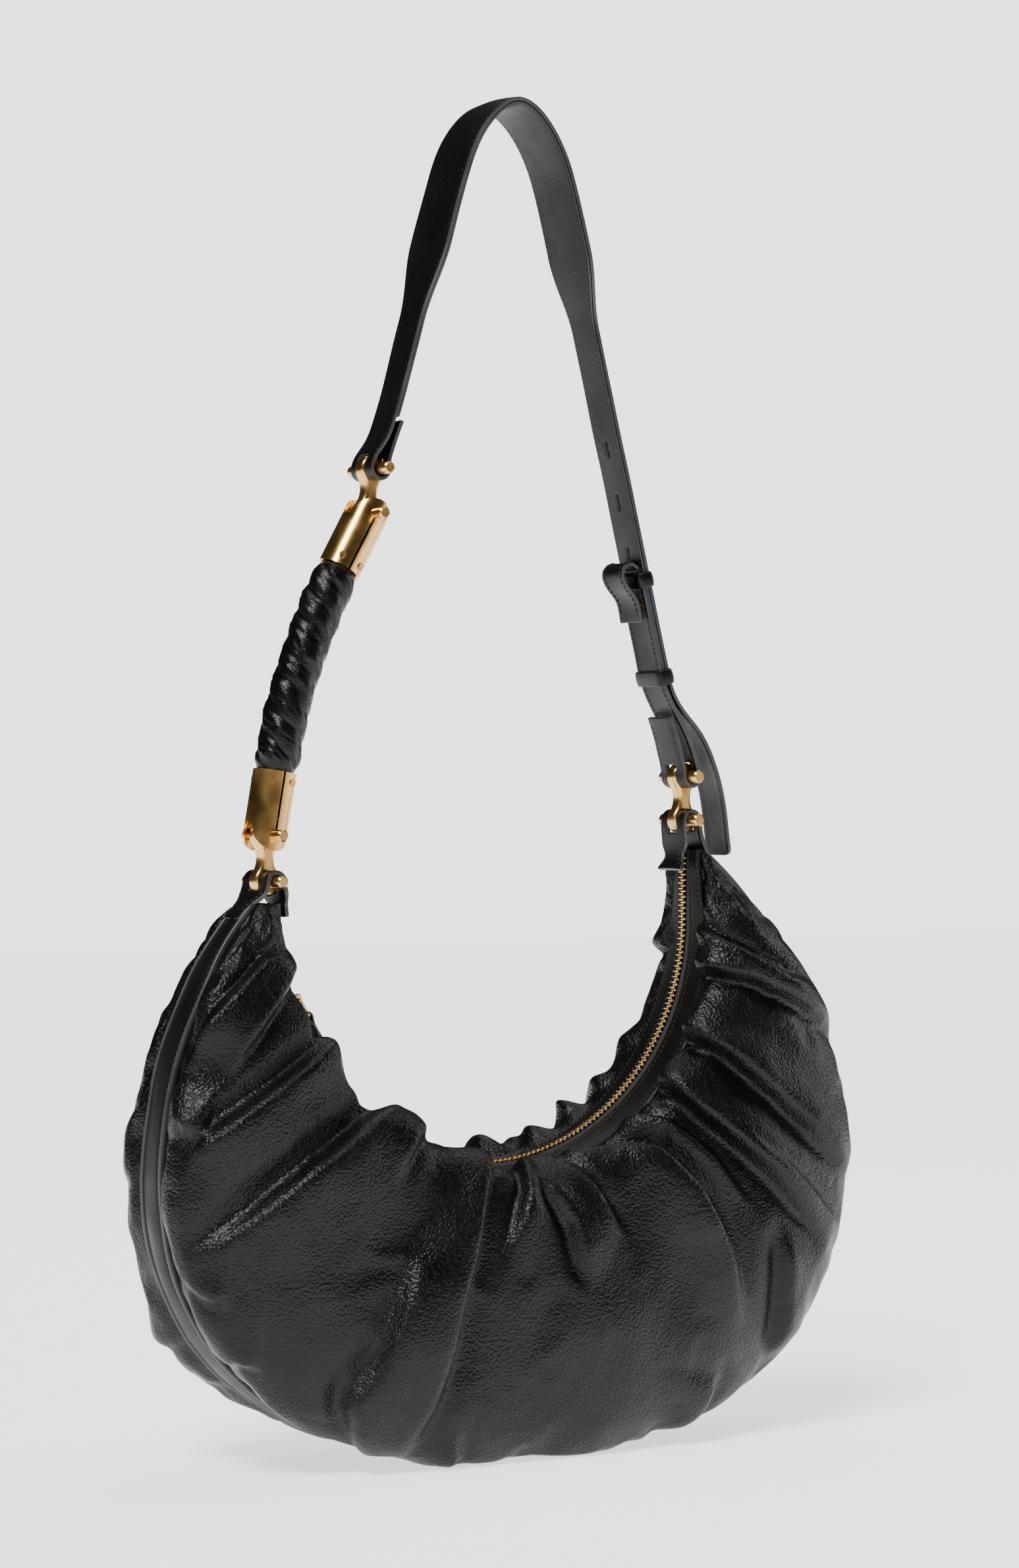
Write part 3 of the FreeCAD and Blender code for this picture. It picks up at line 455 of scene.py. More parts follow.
def wrinkle_height(spot, u, v, side):
    """The small gathers beside both seams, the slow swell of the hide and its crumples."""
    ruche = math.sin(u * ZIP_LENGTH / 0.0021 + 2.2 * noise.noise(Vector((u * 40, v * 3, side))))
    near_zip = math.exp(-v / 0.07) * (0.0011 if side < 0 else 0.0004) * (
        0.55 + 0.45 * noise.noise(Vector((u * 23, 5, side))))
    near_welt = math.exp(-(1 - v) / 0.05) * 0.0009
    swell = 0.0040 * noise.noise(Vector((spot.x * 21, spot.z * 21, 3 * side)))
    crumple = (0.5 - abs(noise.noise(spot * 42 + Vector((0, 0, 9 * side))))) * 0.0026
    crumple += (0.4 - abs(noise.noise(spot * 95))) * 0.0010
    seam = max(math.exp(-v / 0.25), math.exp(-(1 - v) / 0.22), math.exp(-min(u, 1 - u) / 0.14))
    return ruche * (near_zip + near_welt) + swell + crumple * (0.25 + 0.9 * seam)


def gathered_panel(name, side, laps):
    mesh = bmesh.new()
    bmesh.ops.create_grid(mesh, x_segments=PANEL_ALONG, y_segments=PANEL_ACROSS, size=0.5)
    mesh.verts.ensure_lookup_table()
    rows = {}
    shares = []
    for vert in mesh.verts:
        u, v = vert.co.x + 0.5, vert.co.y + 0.5
        key = round(u * PANEL_ALONG)
        if key not in rows:
            rows[key] = panel_row(u)
        shares.append((u, v))
        vert.co = panel_spot(rows[key], v, side)
    if side > 0:
        bmesh.ops.reverse_faces(mesh, faces=mesh.faces)
    mesh.normal_update()
    spots = np.array([tuple(v.co) for v in mesh.verts])
    normals = np.array([tuple(v.normal) for v in mesh.verts])
    if (normals[:, 1] * side).sum() < 0:
        bmesh.ops.reverse_faces(mesh, faces=mesh.faces)
        normals = -normals
    push = lap_push(spots, normals, side, laps)
    for vert, amount, way, (u, v) in zip(mesh.verts, push, normals, shares):
        hem = min(1.0, v / 0.035, (1 - v) / 0.035, u / 0.02, (1 - u) / 0.02)
        amount *= 1 - 0.6 * ease(v, 0.80, 0.95)
        lean, out = overhang(u, v, side)
        vert.co += Vector(way) * hem * (amount + wrinkle_height(vert.co, u, v, side))
        vert.co += zip_station(u * ZIP_LENGTH)[1] * (out - lean)
    skin = baked(name, mesh)
    piece = add_object(name, skin)
    seams = piece.vertex_groups.new(name="seams")
    gathers = piece.vertex_groups.new(name="gathers")
    for index, (u, v) in enumerate(shares):
        if min(u, 1 - u) < 0.5 / PANEL_ALONG or min(v, 1 - v) < 0.5 / PANEL_ACROSS:
            seams.add([index], 1.0, "REPLACE")
        full = math.exp(-v / 0.20) + 0.45 * math.exp(-(1 - v) / 0.16) + 0.5 * math.exp(-min(u, 1 - u) / 0.10)
        gathers.add([index], min(1.0, full), "REPLACE")
    settle(piece, 18, 1.2, 0.007)
    for face in skin.polygons:
        face.use_smooth = True
    skin.materials.append(grained)
    relax = piece.modifiers.new("relax", "SMOOTH")
    relax.factor = 0.4
    relax.iterations = 1
    finer = piece.modifiers.new("finer", "SUBSURF")
    finer.levels = 1
    finer.render_levels = 1
    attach(piece, "bag")
    return piece


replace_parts(gathered_panel("gathered_front", -1, FRONT_LAPS), "front_panel")
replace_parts(gathered_panel("gathered_back", 1, BACK_LAPS), "back_panel")

# ---- strips of leather, seams and stitches ------------------------------------------------------
# Bands, loops, plies and keepers are strips of hide cut to width, folded or bent along a line and
# edge-painted. Their stitches are short pieces of waxed black thread that bed into the surface.


def smooth_paint(name, tone, rough, metal=0.0, spread=0.0, scale=60.0, depth=0.0):
    """An even finish whose roughness wanders by spread over patches, with a fine bump of that depth."""
    paint, tree, shader, place = new_paint(name)
    shader.inputs["Metallic"].default_value = metal
    patch = noise_field(tree, place, scale, 5).outputs["Fac"]
    tree.links.new(remap(tree, patch, 0.3, 0.7, rough - spread, rough + spread), shader.inputs["Roughness"])
    blend_tones(tree, shader, remap(tree, patch, 0.25, 0.55, 0.0, 1.0), [c * 0.72 for c in tone], tone)
    if depth:
        add_bump(tree, shader, noise_field(tree, place, scale * 22, 2).outputs["Fac"], 0.6, depth)
    return paint


edge_paint = smooth_paint("edge_paint", (0.030, 0.031, 0.034), 0.42, spread=0.08, depth=0.00004)
thread_paint = smooth_paint("waxed_thread", (0.016, 0.015, 0.015), 0.5, spread=0.06, depth=0.00003)


def even_run(points, first_way=None, last_way=None, spacing=0.002):
    """Points and directions at even spacing on a smooth curve through the given (x, z) points."""
    p = np.array(points, float)
    h = np.linalg.norm(np.diff(p, axis=0), axis=1)
    first = np.array(first_way if first_way else (p[1] - p[0]) / h[0], float)
    last = np.array(last_way if last_way else (p[-1] - p[-2]) / h[-1], float)
    n = len(p)
    system, right = np.eye(n), np.zeros((n, 2))
    right[0], right[-1] = first / np.linalg.norm(first), last / np.linalg.norm(last)
    for i in range(1, n - 1):
        a, b = 1 / h[i - 1], 1 / h[i]
        system[i, i - 1], system[i, i], system[i, i + 1] = a, 2 * (a + b), b
        right[i] = 3 * ((p[i] - p[i - 1]) * a * a + (p[i + 1] - p[i]) * b * b)
    slope = np.linalg.solve(system, right)
    fine = []
    for i in range(n - 1):
        for k in range(40):
            t = k / 40
            fine.append((2 * t ** 3 - 3 * t ** 2 + 1) * p[i] + (t ** 3 - 2 * t ** 2 + t) * h[i] * slope[i]
                        + (3 * t ** 2 - 2 * t ** 3) * p[i + 1] + (t ** 3 - t ** 2) * h[i] * slope[i + 1])
    fine.append(p[-1])
    fine = np.array(fine)
    run = np.concatenate([[0], np.cumsum(np.linalg.norm(np.diff(fine, axis=0), axis=1))])
    count = max(2, round(run[-1] / spacing))
    marks = np.linspace(0, run[-1], count + 1)
    xs, zs = np.interp(marks, run, fine[:, 0]), np.interp(marks, run, fine[:, 1])
    ways = np.stack([np.gradient(xs), np.gradient(zs)], 1)
    ways /= np.linalg.norm(ways, axis=1)[:, None]
    return [(Vector((x, 0, z)), Vector((w[0], 0, w[1]))) for x, z, w in zip(xs, zs, ways)]


def beside(stop, through, y):
    """A point beside a run: through to the left of its direction, and y across."""
    point, way = stop[0], stop[1]
    return point + Vector((-way.z, 0, way.x)) * through + Vector((0, y, 0))


def finish_piece(name, shape, body, nodes):
    for face in shape.polygons:
        face.use_smooth = True
    piece = add_object(name, shape)
    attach(piece, body)
    if nodes:
        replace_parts(piece, *nodes)
    return piece


MERGE = 2e-5


def strip(name, along, across, spot, thick, body, paint, nodes=(), gone=None, ring=False,
          bevel=0.00045):
    """A grid of faces placed by spot(i, j), without the cells that gone(i, j) names, given a thickness."""
    mesh = bmesh.new()
    bmesh.ops.create_grid(mesh, x_segments=along, y_segments=across, size=0.5)
    index = {v: (round((v.co.x + 0.5) * along), round((v.co.y + 0.5) * across)) for v in mesh.verts}
    cut = [f for f in mesh.faces if gone and gone(min(index[v][0] for v in f.verts),
                                                  min(index[v][1] for v in f.verts))]
    for vert, (i, j) in index.items():
        vert.co = spot(i, j)
    if cut:
        bmesh.ops.delete(mesh, geom=cut, context="FACES")
    if ring:
        bmesh.ops.remove_doubles(mesh, verts=mesh.verts, dist=MERGE)
    shape = baked(name, mesh)
    shape.materials.append(paint)
    shape.materials.append(edge_paint)
    piece = finish_piece(name, shape, body, nodes)
    shell = piece.modifiers.new("thickness", "SOLIDIFY")
    shell.thickness = thick
    shell.offset = 0
    shell.material_offset_rim = 1
    shell.use_even_offset = True
    if bevel:
        rim = piece.modifiers.new("rounded_edges", "BEVEL")
        rim.width = bevel
        rim.segments = 2
        rim.limit_method = "ANGLE"
        rim.angle_limit = math.radians(50)
    return piece


def closed_tube(name, along, around, spot, body, paint, nodes):
    """A tube of faces placed by spot(i, j), with both ends closed."""
    tube = bmesh.new()
    bmesh.ops.create_grid(tube, x_segments=along, y_segments=around, size=0.5)
    for vert in tube.verts:
        vert.co = spot(round((vert.co.x + 0.5) * along), round((vert.co.y + 0.5) * around) % around)
    bmesh.ops.remove_doubles(tube, verts=tube.verts, dist=MERGE)
    bmesh.ops.holes_fill(tube, edges=tube.edges, sides=0)
    bmesh.ops.recalc_face_normals(tube, faces=tube.faces)
    shape = baked(name, tube)
    shape.materials.append(paint)
    return finish_piece(name, shape, body, nodes)


def many(name, template, places, body, paint, nodes=()):
    """One mesh with a copy of the template at each of the places."""
    spare = bpy.data.meshes.new("spare")
    whole = bmesh.new()
    for matrix in places:
        copy = template.copy()
        copy.transform(matrix)
        copy.to_mesh(spare)
        copy.free()
        whole.from_mesh(spare)
    shape = baked(name, whole)
    bpy.data.meshes.remove(spare)
    shape.materials.append(paint)
    return finish_piece(name, shape, body, nodes)


THREAD_RADIUS = 0.00036


def sew(name, lines, body, pitch=0.0034):
    """Stitches along lines of points that lie on the leather."""
    bead = bmesh.new()
    bmesh.ops.create_icosphere(bead, subdivisions=1, radius=1)
    places = []
    for line in lines:
        spots = np.array([tuple(p) for p in line])
        run = np.concatenate([[0], np.cumsum(np.linalg.norm(np.diff(spots, axis=0), axis=1))])
        for k in range(int(run[-1] / pitch)):
            ends = [Vector([np.interp(m, run, spots[:, a]) for a in range(3)])
                    for m in ((k + 0.12) * pitch, (k + 0.88) * pitch)]
            way = ends[1] - ends[0]
            turn = way.to_track_quat("X", "Z").to_matrix().to_4x4()
            places.append(Matrix.Translation((ends[0] + ends[1]) / 2) @ turn
                          @ Matrix.Diagonal((way.length * 0.54, THREAD_RADIUS, THREAD_RADIUS, 1)))
    piece = many(name, bead, places, body, thread_paint)
    bead.free()
    return piece


# ---- spine band and welts -----------------------------------------------------------------------
# One long strip of smoother hide runs round the outside of the bag between the two gathered panels,
# crowned by the seam allowances under it, with a stitch row beside each edge and a raw painted welt.


def outline_run(count):
    """Points and outward normals round the outside, from the left tip down and round to the right."""
    first = math.pi - math.asin((LEFT_TIP_Z - WAIST_Z) / UPPER_RISE)
    last = 2 * math.pi + math.asin((RIGHT_TIP_Z - WAIST_Z) / UPPER_RISE)
    fine = []
    for k in range(1201):
        phi = first + (last - first) * k / 1200
        c, s = math.cos(phi), math.sin(phi)
        if s > 0:
            x, z = HALF_LENGTH * c, WAIST_Z + UPPER_RISE * s
        else:
            scale = (abs(c) / HALF_LENGTH) ** LOWER_POWER + (abs(s) / LOWER_DROP) ** LOWER_POWER
            x, z = scale ** (-1 / LOWER_POWER) * c, WAIST_Z + scale ** (-1 / LOWER_POWER) * s
        fine.append((x, max(0.0, z)))
    fine = np.array(fine)
    run = np.concatenate([[0], np.cumsum(np.linalg.norm(np.diff(fine, axis=0), axis=1))])
    marks = np.linspace(0, run[-1], count + 1)
    xs, zs = np.interp(marks, run, fine[:, 0]), np.interp(marks, run, fine[:, 1])
    ways = np.stack([np.gradient(xs), np.gradient(zs)], 1)
    for _ in range(3):
        ways[1:-1] = (ways[:-2] + 2 * ways[1:-1] + ways[2:]) / 4
    ways /= np.linalg.norm(ways, axis=1)[:, None]
    return [(Vector((x, 0, z)), Vector((w[1], 0, -w[0]))) for x, z, w in zip(xs, zs, ways)]


SPINE_STEPS = 420
SPINE_THICK = 0.0020
SPINE_STITCH = 0.0078
SPINE_STOPS = outline_run(SPINE_STEPS)
SPINE_COLUMNS = (-SPINE_HALF, -0.0088, -SPINE_STITCH, -0.0068, -0.0050, -0.0026, 0, 0.0026, 0.0050, 0.0068,
                 SPINE_STITCH, 0.0088, SPINE_HALF)
WELT_ROUND = 10


def spine_sway(point, side):
    """How far the band's edge wanders off its line."""
    return 0.0009 * noise.noise(Vector((point.x * 26, point.z * 26, 7 + side)))


def spine_share(i):
    """The band's width at stop i as a share of its full width: it narrows at both tips."""
    return 0.80 + 0.20 * ease(i, 0, 26) * ease(SPINE_STEPS - i, 0, 20)


def spine_spot(i, y, lift):
    point, out = SPINE_STOPS[i]
    groove = 0.0004 if abs(abs(y) - SPINE_STITCH) < 1e-5 else 0
    crown = 0.0013 * (1 - (y / SPINE_HALF) ** 2) - groove
    wave = spine_sway(point, y / SPINE_HALF)
    spot = point + out * (lift + crown + wave * 0.7) + Vector((0, y * spine_share(i) + wave, 0))
    spot.z = max(spot.z, 0.0014 + max(0.0, lift + 0.0011))
    return spot


strip("spine_leather", SPINE_STEPS, len(SPINE_COLUMNS) - 1,
      lambda i, j: spine_spot(i, SPINE_COLUMNS[j], -0.0011), SPINE_THICK, "bag",
      smooth, ("spine_band",))
sew("spine_stitches", [[spine_spot(i, y, 0.0) for i in range(2, SPINE_STEPS - 1)]
                       for y in (-SPINE_STITCH, SPINE_STITCH)], "bag")
for side, word in ((-1, "front"), (1, "back")):
    def welt_spot(i, j, side=side):
        point, out = SPINE_STOPS[i]
        turn = 2 * math.pi * j / WELT_ROUND
        c, s = math.cos(turn), math.sin(turn)
        wave = spine_sway(point, side)
        across = side * (SPINE_HALF * spine_share(i) + 0.0010 + 0.00105 * math.copysign(abs(c) ** 0.7, c))
        rise = 0.0019 * math.copysign(abs(s) ** 0.7, s) - 0.0008 + wave * 0.7
        spot = point + out * rise + Vector((0, across + wave, 0))
        spot.z = max(spot.z, 0.0009)
        return spot
    closed_tube(word + "_welt", SPINE_STEPS, WELT_ROUND, welt_spot, "bag", edge_paint,
                (word + "_piping",))

# ---- plackets beside the zip --------------------------------------------------------------------
# Two flat strips of smoother hide, stitched to the zip tape along one side and over the gathered edge
# of the panel along the other, where the gathers make their edge run unevenly.
PLACKET_STITCHES = (0.20, 0.86)
PLACKET_COLUMNS = (0.0, 0.04, 0.10, 0.20, 0.30, 0.42, 0.54, 0.66, 0.78, 0.86, 0.93, 1.0)
PLACKET_STEPS = 300
TAPE_SHOWN = 0.0046


def placket_spot(i, share, side, lift):
    """The placket at stop i of the zip's run, at a share of its width out from the zip."""
    along = i / PLACKET_STEPS * ZIP_LENGTH
    origin, way = zip_station(along)
    edge = placket_half(along) + 0.0004
    ragged = 0.0009 * share ** 4 * noise.noise(Vector((along * 85, side * 9, 0)))
    y = TAPE_SHOWN + (edge - TAPE_SHOWN) * share + ragged
    rise = 0.0033 * (y / 0.022) ** 1.4
    groove = 0.00035 if share in PLACKET_STITCHES else 0.0
    roll = 0.0007 * ease(0.06 - share, 0, 0.06) + 0.0006 * ease(share, 0.93, 1.0)
    ripple = 0.0006 * share ** 2 * noise.noise(Vector((along * 60, side * 4, 2)))
    reach = ZIP_RADIUS + 0.0006 + rise + groove + roll + ripple - lift
    return origin + way * reach + Vector((0, side * y, 0))


for side, word in ((-1, "front"), (1, "back")):
    strip(word + "_placket_leather", PLACKET_STEPS, len(PLACKET_COLUMNS) - 1,
          lambda i, j, side=side: placket_spot(i, PLACKET_COLUMNS[j], side, -0.00075), 0.0014, "bag",
          smooth, (word + "_placket",))
    sew(word + "_placket_stitches",
        [[placket_spot(i, share, side, 0.0001) for i in range(3, PLACKET_STEPS - 2)]
         for share in PLACKET_STITCHES], "bag", 0.0032)

# ---- zip ----------------------------------------------------------------------------------------
# A size 5 metal zip: gold-plated teeth clamped alternately to two black woven tapes, stops at both
# ends, a slider whose bridge carries a wire bail, and a folded leather tab on the bail.


def woven(name, tone, thread):
    """Crossed threads, each as wide as thread; a wave texture of scale 1 repeats every 0.314 m."""
    paint, tree, shader, place = new_paint(name)
    shader.inputs["Base Color"].default_value = (*tone, 1)
    shader.inputs["Roughness"].default_value = 0.8
    shader.inputs["Sheen Weight"].default_value = 0.15
    heights = []
    for way in ("X", "Z"):
        wave = tree.nodes.new("ShaderNodeTexWave")
        wave.bands_direction = way
        wave.inputs["Scale"].default_value = 0.314 / thread
        wave.inputs["Distortion"].default_value = 0.6
        tree.links.new(place, wave.inputs["Vector"])
        heights.append(wave)
    join = tree.nodes.new("ShaderNodeMath")
    join.operation = "MULTIPLY"
    tree.links.new(heights[0].outputs["Fac"], join.inputs[0])
    tree.links.new(heights[1].outputs["Fac"], join.inputs[1])
    add_bump(tree, shader, join.outputs[0], 0.7, thread * 0.3)
    return paint


def repaint(paint, *nodes):
    """Gives CAD nodes that keep their own mesh a finish."""
    for name in nodes:
        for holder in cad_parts[name].material_slots:
            holder.material = paint


zip_metal = smooth_paint("zip_metal", (0.78, 0.54, 0.24), 0.27, metal=1.0, spread=0.06, scale=300)
repaint(woven("zip_tape", (0.012, 0.012, 0.013), 0.0006), "zip_tape_front", "zip_tape_back")
repaint(zip_metal, "zip_stops", "zip_slider", "zip_pull_bail")
TOOTH_PITCH = 0.0031
TOOTH_SIZE = (0.00128, 0.0037, 0.0028)
tooth = bmesh.new()
bmesh.ops.create_cube(tooth, size=1)
bmesh.ops.scale(tooth, vec=TOOTH_SIZE, verts=tooth.verts)
bmesh.ops.bevel(tooth, geom=tooth.edges[:], offset=0.00032, segments=1, profile=0.5, affect="EDGES",
                material=-1)
for side, word in ((-1, "front"), (1, "back")):
    places = []
    for k in range(int((ZIP_LENGTH - 0.0055) / TOOTH_PITCH)):
        along = 0.0030 + (k + (0.25 if side > 0 else 0.75)) * TOOTH_PITCH
        origin, way = zip_station(along)
        run = Vector((-way.z, 0, way.x))
        basis = Matrix((run, (0, 1, 0), way)).transposed().to_4x4()
        middle = origin + way * (ZIP_RADIUS + 0.00015) + Vector((0, side * 0.00105, 0))
        places.append(Matrix.Translation(middle) @ basis)
    many(word + "_teeth", tooth, places, "bag", zip_metal, ("zip_teeth_" + word,))
tooth.free()


def round_zip(degrees, radius):
    """A point on a circle about the centre of the zip's arc."""
    return ZIP_CENTRE + Vector((math.cos(math.radians(degrees)), 0, math.sin(math.radians(degrees)))) * radius


pivot, pull_end = round_zip(198.5, 0.1216), round_zip(217, 0.1195)
pull_way = (pull_end - pivot).normalized()
pull_side = Vector((-pull_way.z, 0, pull_way.x))
# half of the tab's thickness at each distance from the bail, out along one face and back along the other
fold = [(0.0385, 0.00065), (0.024, 0.00072), (0.0125, 0.00095), (0.0092, 0.00155), (0.0075, 0.0),
        (0.0092, -0.00155), (0.0125, -0.00095), (0.024, -0.00072), (0.0385, -0.00065)]
pull_run = even_run(fold, spacing=0.0012)


def pull_spot(i, y):
    """The tab at stop i of its fold; y runs from -1 to 1 across its half width of 4 mm."""
    local = pull_run[i][0]
    rounded = 0.0040 * math.sqrt(max(0.04, 1 - max(0.0, (local.x - 0.0362) / 0.0026) ** 2))
    return pivot + pull_way * local.x + pull_side * local.z + Vector((0, y * rounded, 0))


strip("pull_leather", len(pull_run) - 1, 6, lambda i, j: pull_spot(i, j / 3 - 1), 0.0011, "pull",
      smooth, ("zip_pull_tab",), bevel=0.0003)
sew("pull_stitches", [[pull_spot(i, y) + pull_side * (0.0006 * math.copysign(1, pull_run[i][0].z))
                       for i in range(len(pull_run))
                       if half * pull_run[i][0].z > 0 and 0.014 < pull_run[i][0].x < 0.036]
                      for y in (-0.62, 0.62) for half in (-1, 1)], "pull", 0.0026)

# ---- brass --------------------------------------------------------------------------------------
# Solid brass, cast and polished by hand, with a soft brown bloom. Dog-bone links turn on chamfered
# pins; each ferrule is two half shells held round the grip's leather by four slotted screws.
brass = smooth_paint("polished_brass", (0.80, 0.48, 0.155), 0.24, metal=1.0, spread=0.07, scale=55,
                     depth=0.000012)
repaint(brass, "left_base_pin", "lower_ferrule_pin", "upper_ferrule_pin", "left_strap_pin", "right_strap_pin",
        "right_base_pin", "lower_left_link", "upper_left_link", "right_link", "lower_ferrule_outer",
        "lower_ferrule_inner", "upper_ferrule_outer", "upper_ferrule_inner", "lower_ferrule_screws",
        "upper_ferrule_screws", "adjuster_stud")

# ---- twisted grip -------------------------------------------------------------------------------
# Soft hide wound round a rope core and twisted tight, so that it stands in three ropy lobes with
# creases between them and finer wrinkles across, gripped at both ends inside the ferrules.
PIN_B, PIN_C = Vector((-0.144, 0, 0.333)), Vector((-0.083, 0, 0.503))
GRIP_BEND = math.radians(19.5)
MOUTH = 0.034
grip_chord = math.atan2(PIN_C.x - PIN_B.x, PIN_C.z - PIN_B.z)
grip_low = grip_chord - GRIP_BEND / 2
grip_radius = ((PIN_C - PIN_B).length - 2 * MOUTH * math.cos(GRIP_BEND / 2)) / (2 * math.sin(GRIP_BEND / 2))
GRIP_ARC = grip_radius * GRIP_BEND
GRIP_LENGTH = 2 * MOUTH + GRIP_ARC
GRIP_STEPS, GRIP_ROUND = 210, 72
CORE_START = 0.0095
TWIST_PITCH = 0.0155


def grip_stop(s):
    """The grip's centreline at distance s from the lower pin, with its direction."""
    turn = grip_low + GRIP_BEND * min(1.0, max(0.0, (s - MOUTH) / GRIP_ARC))
    mouth = PIN_B + Vector((math.sin(grip_low), 0, math.cos(grip_low))) * MOUTH
    centre = mouth + Vector((math.cos(grip_low), 0, -math.sin(grip_low))) * grip_radius
    if s < MOUTH:
        point = PIN_B + Vector((math.sin(grip_low), 0, math.cos(grip_low))) * s
    else:
        point = centre - Vector((math.cos(turn), 0, -math.sin(turn))) * grip_radius
        point += Vector((math.sin(turn), 0, math.cos(turn))) * max(0.0, s - MOUTH - GRIP_ARC)
    return point, Vector((math.sin(turn), 0, math.cos(turn)))


def grip_spot(i, j):
    s = CORE_START + (GRIP_LENGTH - 2 * CORE_START) * i / GRIP_STEPS
    point, way = grip_stop(s)
    turn = 2 * math.pi * j / GRIP_ROUND
    round_noise = Vector((math.cos(turn) * 1.1, math.sin(turn) * 1.1, s * 40))
    phase = 3 * turn + 2 * math.pi * s / TWIST_PITCH + 1.5 * noise.noise(round_noise)
    lobe = abs(math.sin(phase / 2)) ** 0.7
    free = ease(s, MOUTH - 0.001, MOUTH + 0.007) * ease(GRIP_LENGTH - s, MOUTH - 0.001, MOUTH + 0.007)
    strength = 0.75 + 0.45 * noise.noise(round_noise * 1.7 + Vector((5, 0, 0)))
    wrinkle = noise.noise(Vector((phase * 1.1, s * 120, 3.0))) * 0.0006
    radius = 0.0096 + free * (0.0012 + 0.0017 * strength * lobe + wrinkle)
    side = Vector((way.z, 0, -way.x))
    return point + side * (radius * math.cos(turn)) + Vector((0, radius * math.sin(turn), 0))


closed_tube("twisted_grip", GRIP_STEPS, GRIP_ROUND, grip_spot, "handle",
            leather("twisted_leather", 0.0009, 0.00013, 0.30), ("handle_wrap",))
repaint(woven("rope", (0.30, 0.24, 0.16), 0.0009), "handle_core")

# ---- end loops of the bag -----------------------------------------------------------------------
# At both tips the hide is folded over a pin and slotted for the link. The inner end of each fold hangs
# on as a short flap over the zip's end; the outer end is stitched down on the spine band.
PIN_A, PIN_D = Vector((-0.144, 0, 0.309)), Vector((-0.080, 0, 0.527))
PIN_E, PIN_F = Vector((0.120, 0, 0.364)), Vector((0.120, 0, 0.340))
LEG_HALF = 0.011
STITCH_INSET = 0.0022
EDGE_COLUMNS = (0, 0.0008, STITCH_INSET, 0.0034)
SLOT_COLUMNS = range(5, 11)
HOLE_COLUMNS = (7, 8)
LAST_COLUMN = 16
strap_hide = leather("strap_leather", 0.0008, 0.00008, 0.40)


def column(j, half):
    """Distance across of column j of 17: edges, stitch rows, link slot and buttonhole all have one."""
    if j > LAST_COLUMN // 2:
        return -column(LAST_COLUMN - j, half)
    wide = max(half, LEG_HALF)
    inner = ((wide - 0.0034 + 0.0046) / 2, 0.0046, 0.0030, 0.0014, 0)
    y = wide - EDGE_COLUMNS[j] if j < len(EDGE_COLUMNS) else inner[j - len(EDGE_COLUMNS)]
    return -y * (half / LEG_HALF if half < LEG_HALF else 1)


def round_pin(pin, reach, start, end, step=35):
    """(x, z) points on a circle round a pin, from one angle to another in degrees."""
    count = max(1, round(abs(end - start) / step))
    turns = [math.radians(start + (end - start) * k / count) for k in range(count + 1)]
    return [(pin.x + reach * math.cos(turn), pin.z + reach * math.sin(turn)) for turn in turns]


def broken(line):
    """Splits a line of points where it jumps."""
    parts, part = [], [line[0]]
    for a, b in zip(line, line[1:]):
        if (b - a).length > 0.004:
            parts.append(part)
            part = []
        part.append(b)
    return [p for p in parts + [part] if len(p) > 2]


def looped_strip(name, points, half_at, pin, thick, body, nodes, slot_reach=0.0081, crown=0.0004):
    """A strip bent along the points, slotted where it passes round the pin, and stitched at its edges."""
    stops = even_run(points, spacing=0.0012)

    def spot(i, y, half, lift=0.0):
        groove = 0.0002 if abs(half - abs(y) - STITCH_INSET) < 1e-5 else 0
        bow = crown * (1 - (y / half) ** 2) - groove
        return beside(stops[i], lift + math.copysign(1, lift or 1) * bow, y)

    def slotted(i, j):
        near = min((stops[i][0] - pin).length, (stops[min(i + 1, len(stops) - 1)][0] - pin).length)
        return j in SLOT_COLUMNS and near < slot_reach

    halves = [half_at(stops[i][0]) for i in range(len(stops))]
    strip(name, len(stops) - 1, LAST_COLUMN, lambda i, j: spot(i, column(j, halves[i]), halves[i]), thick,
          body, strap_hide, nodes, gone=slotted)
    lines = []
    for face in (-1, 1):
        for edge in (-1, 1):
            lines.append([spot(i, edge * (halves[i] - STITCH_INSET), halves[i], face * (thick / 2 + 0.00012))
                          for i in range(2, len(stops) - 2) if (stops[i][0] - pin).length > 0.0075])
    sew(name + "_stitches", [part for line in lines for part in broken(line)], body, 0.0030)
    return stops


left_fold = [(-0.1355, 0.2905), (-0.1365, 0.2985), (-0.1385, 0.3045)]
left_fold += round_pin(PIN_A, 0.0048, 0, 180) + [(-0.1503, 0.3038), (-0.1560, 0.2972), (-0.1632, 0.2895)]


def left_fold_half(point):
    """Narrow where the short flap hangs down, wide round the pin, and a little narrower on the band."""
    return 0.0090 + 0.0045 * ease(point.z, 0.296, 0.304) - 0.0010 * ease(-point.x, 0.152, 0.162)


looped_strip("left_fold", left_fold, left_fold_half, PIN_A, 0.0026, "bag",
             ("left_end_loop", "left_end_flap"))


def right_fold_half(point):
    """Waisted below the pin, so that the flap spreads again at its end."""
    if point.z > 0.330 or point.x > 0.122:
        return 0.0112
    return 0.0112 - 0.0030 * math.sin(math.pi * ease(point.z, 0.3125, 0.3270))


right_fold = [(0.1122, 0.3122), (0.1142, 0.3155), (0.1155, 0.3200), (0.1157, 0.3260), (0.1150, 0.3340)]
right_fold += round_pin(PIN_F, 0.0048, 180, 0) + [(0.1262, 0.3320), (0.1290, 0.3240), (0.1330, 0.3150)]
looped_strip("right_fold", right_fold, right_fold_half, PIN_F, 0.0024, "bag",
             ("right_end_loop", "right_end_flap"))

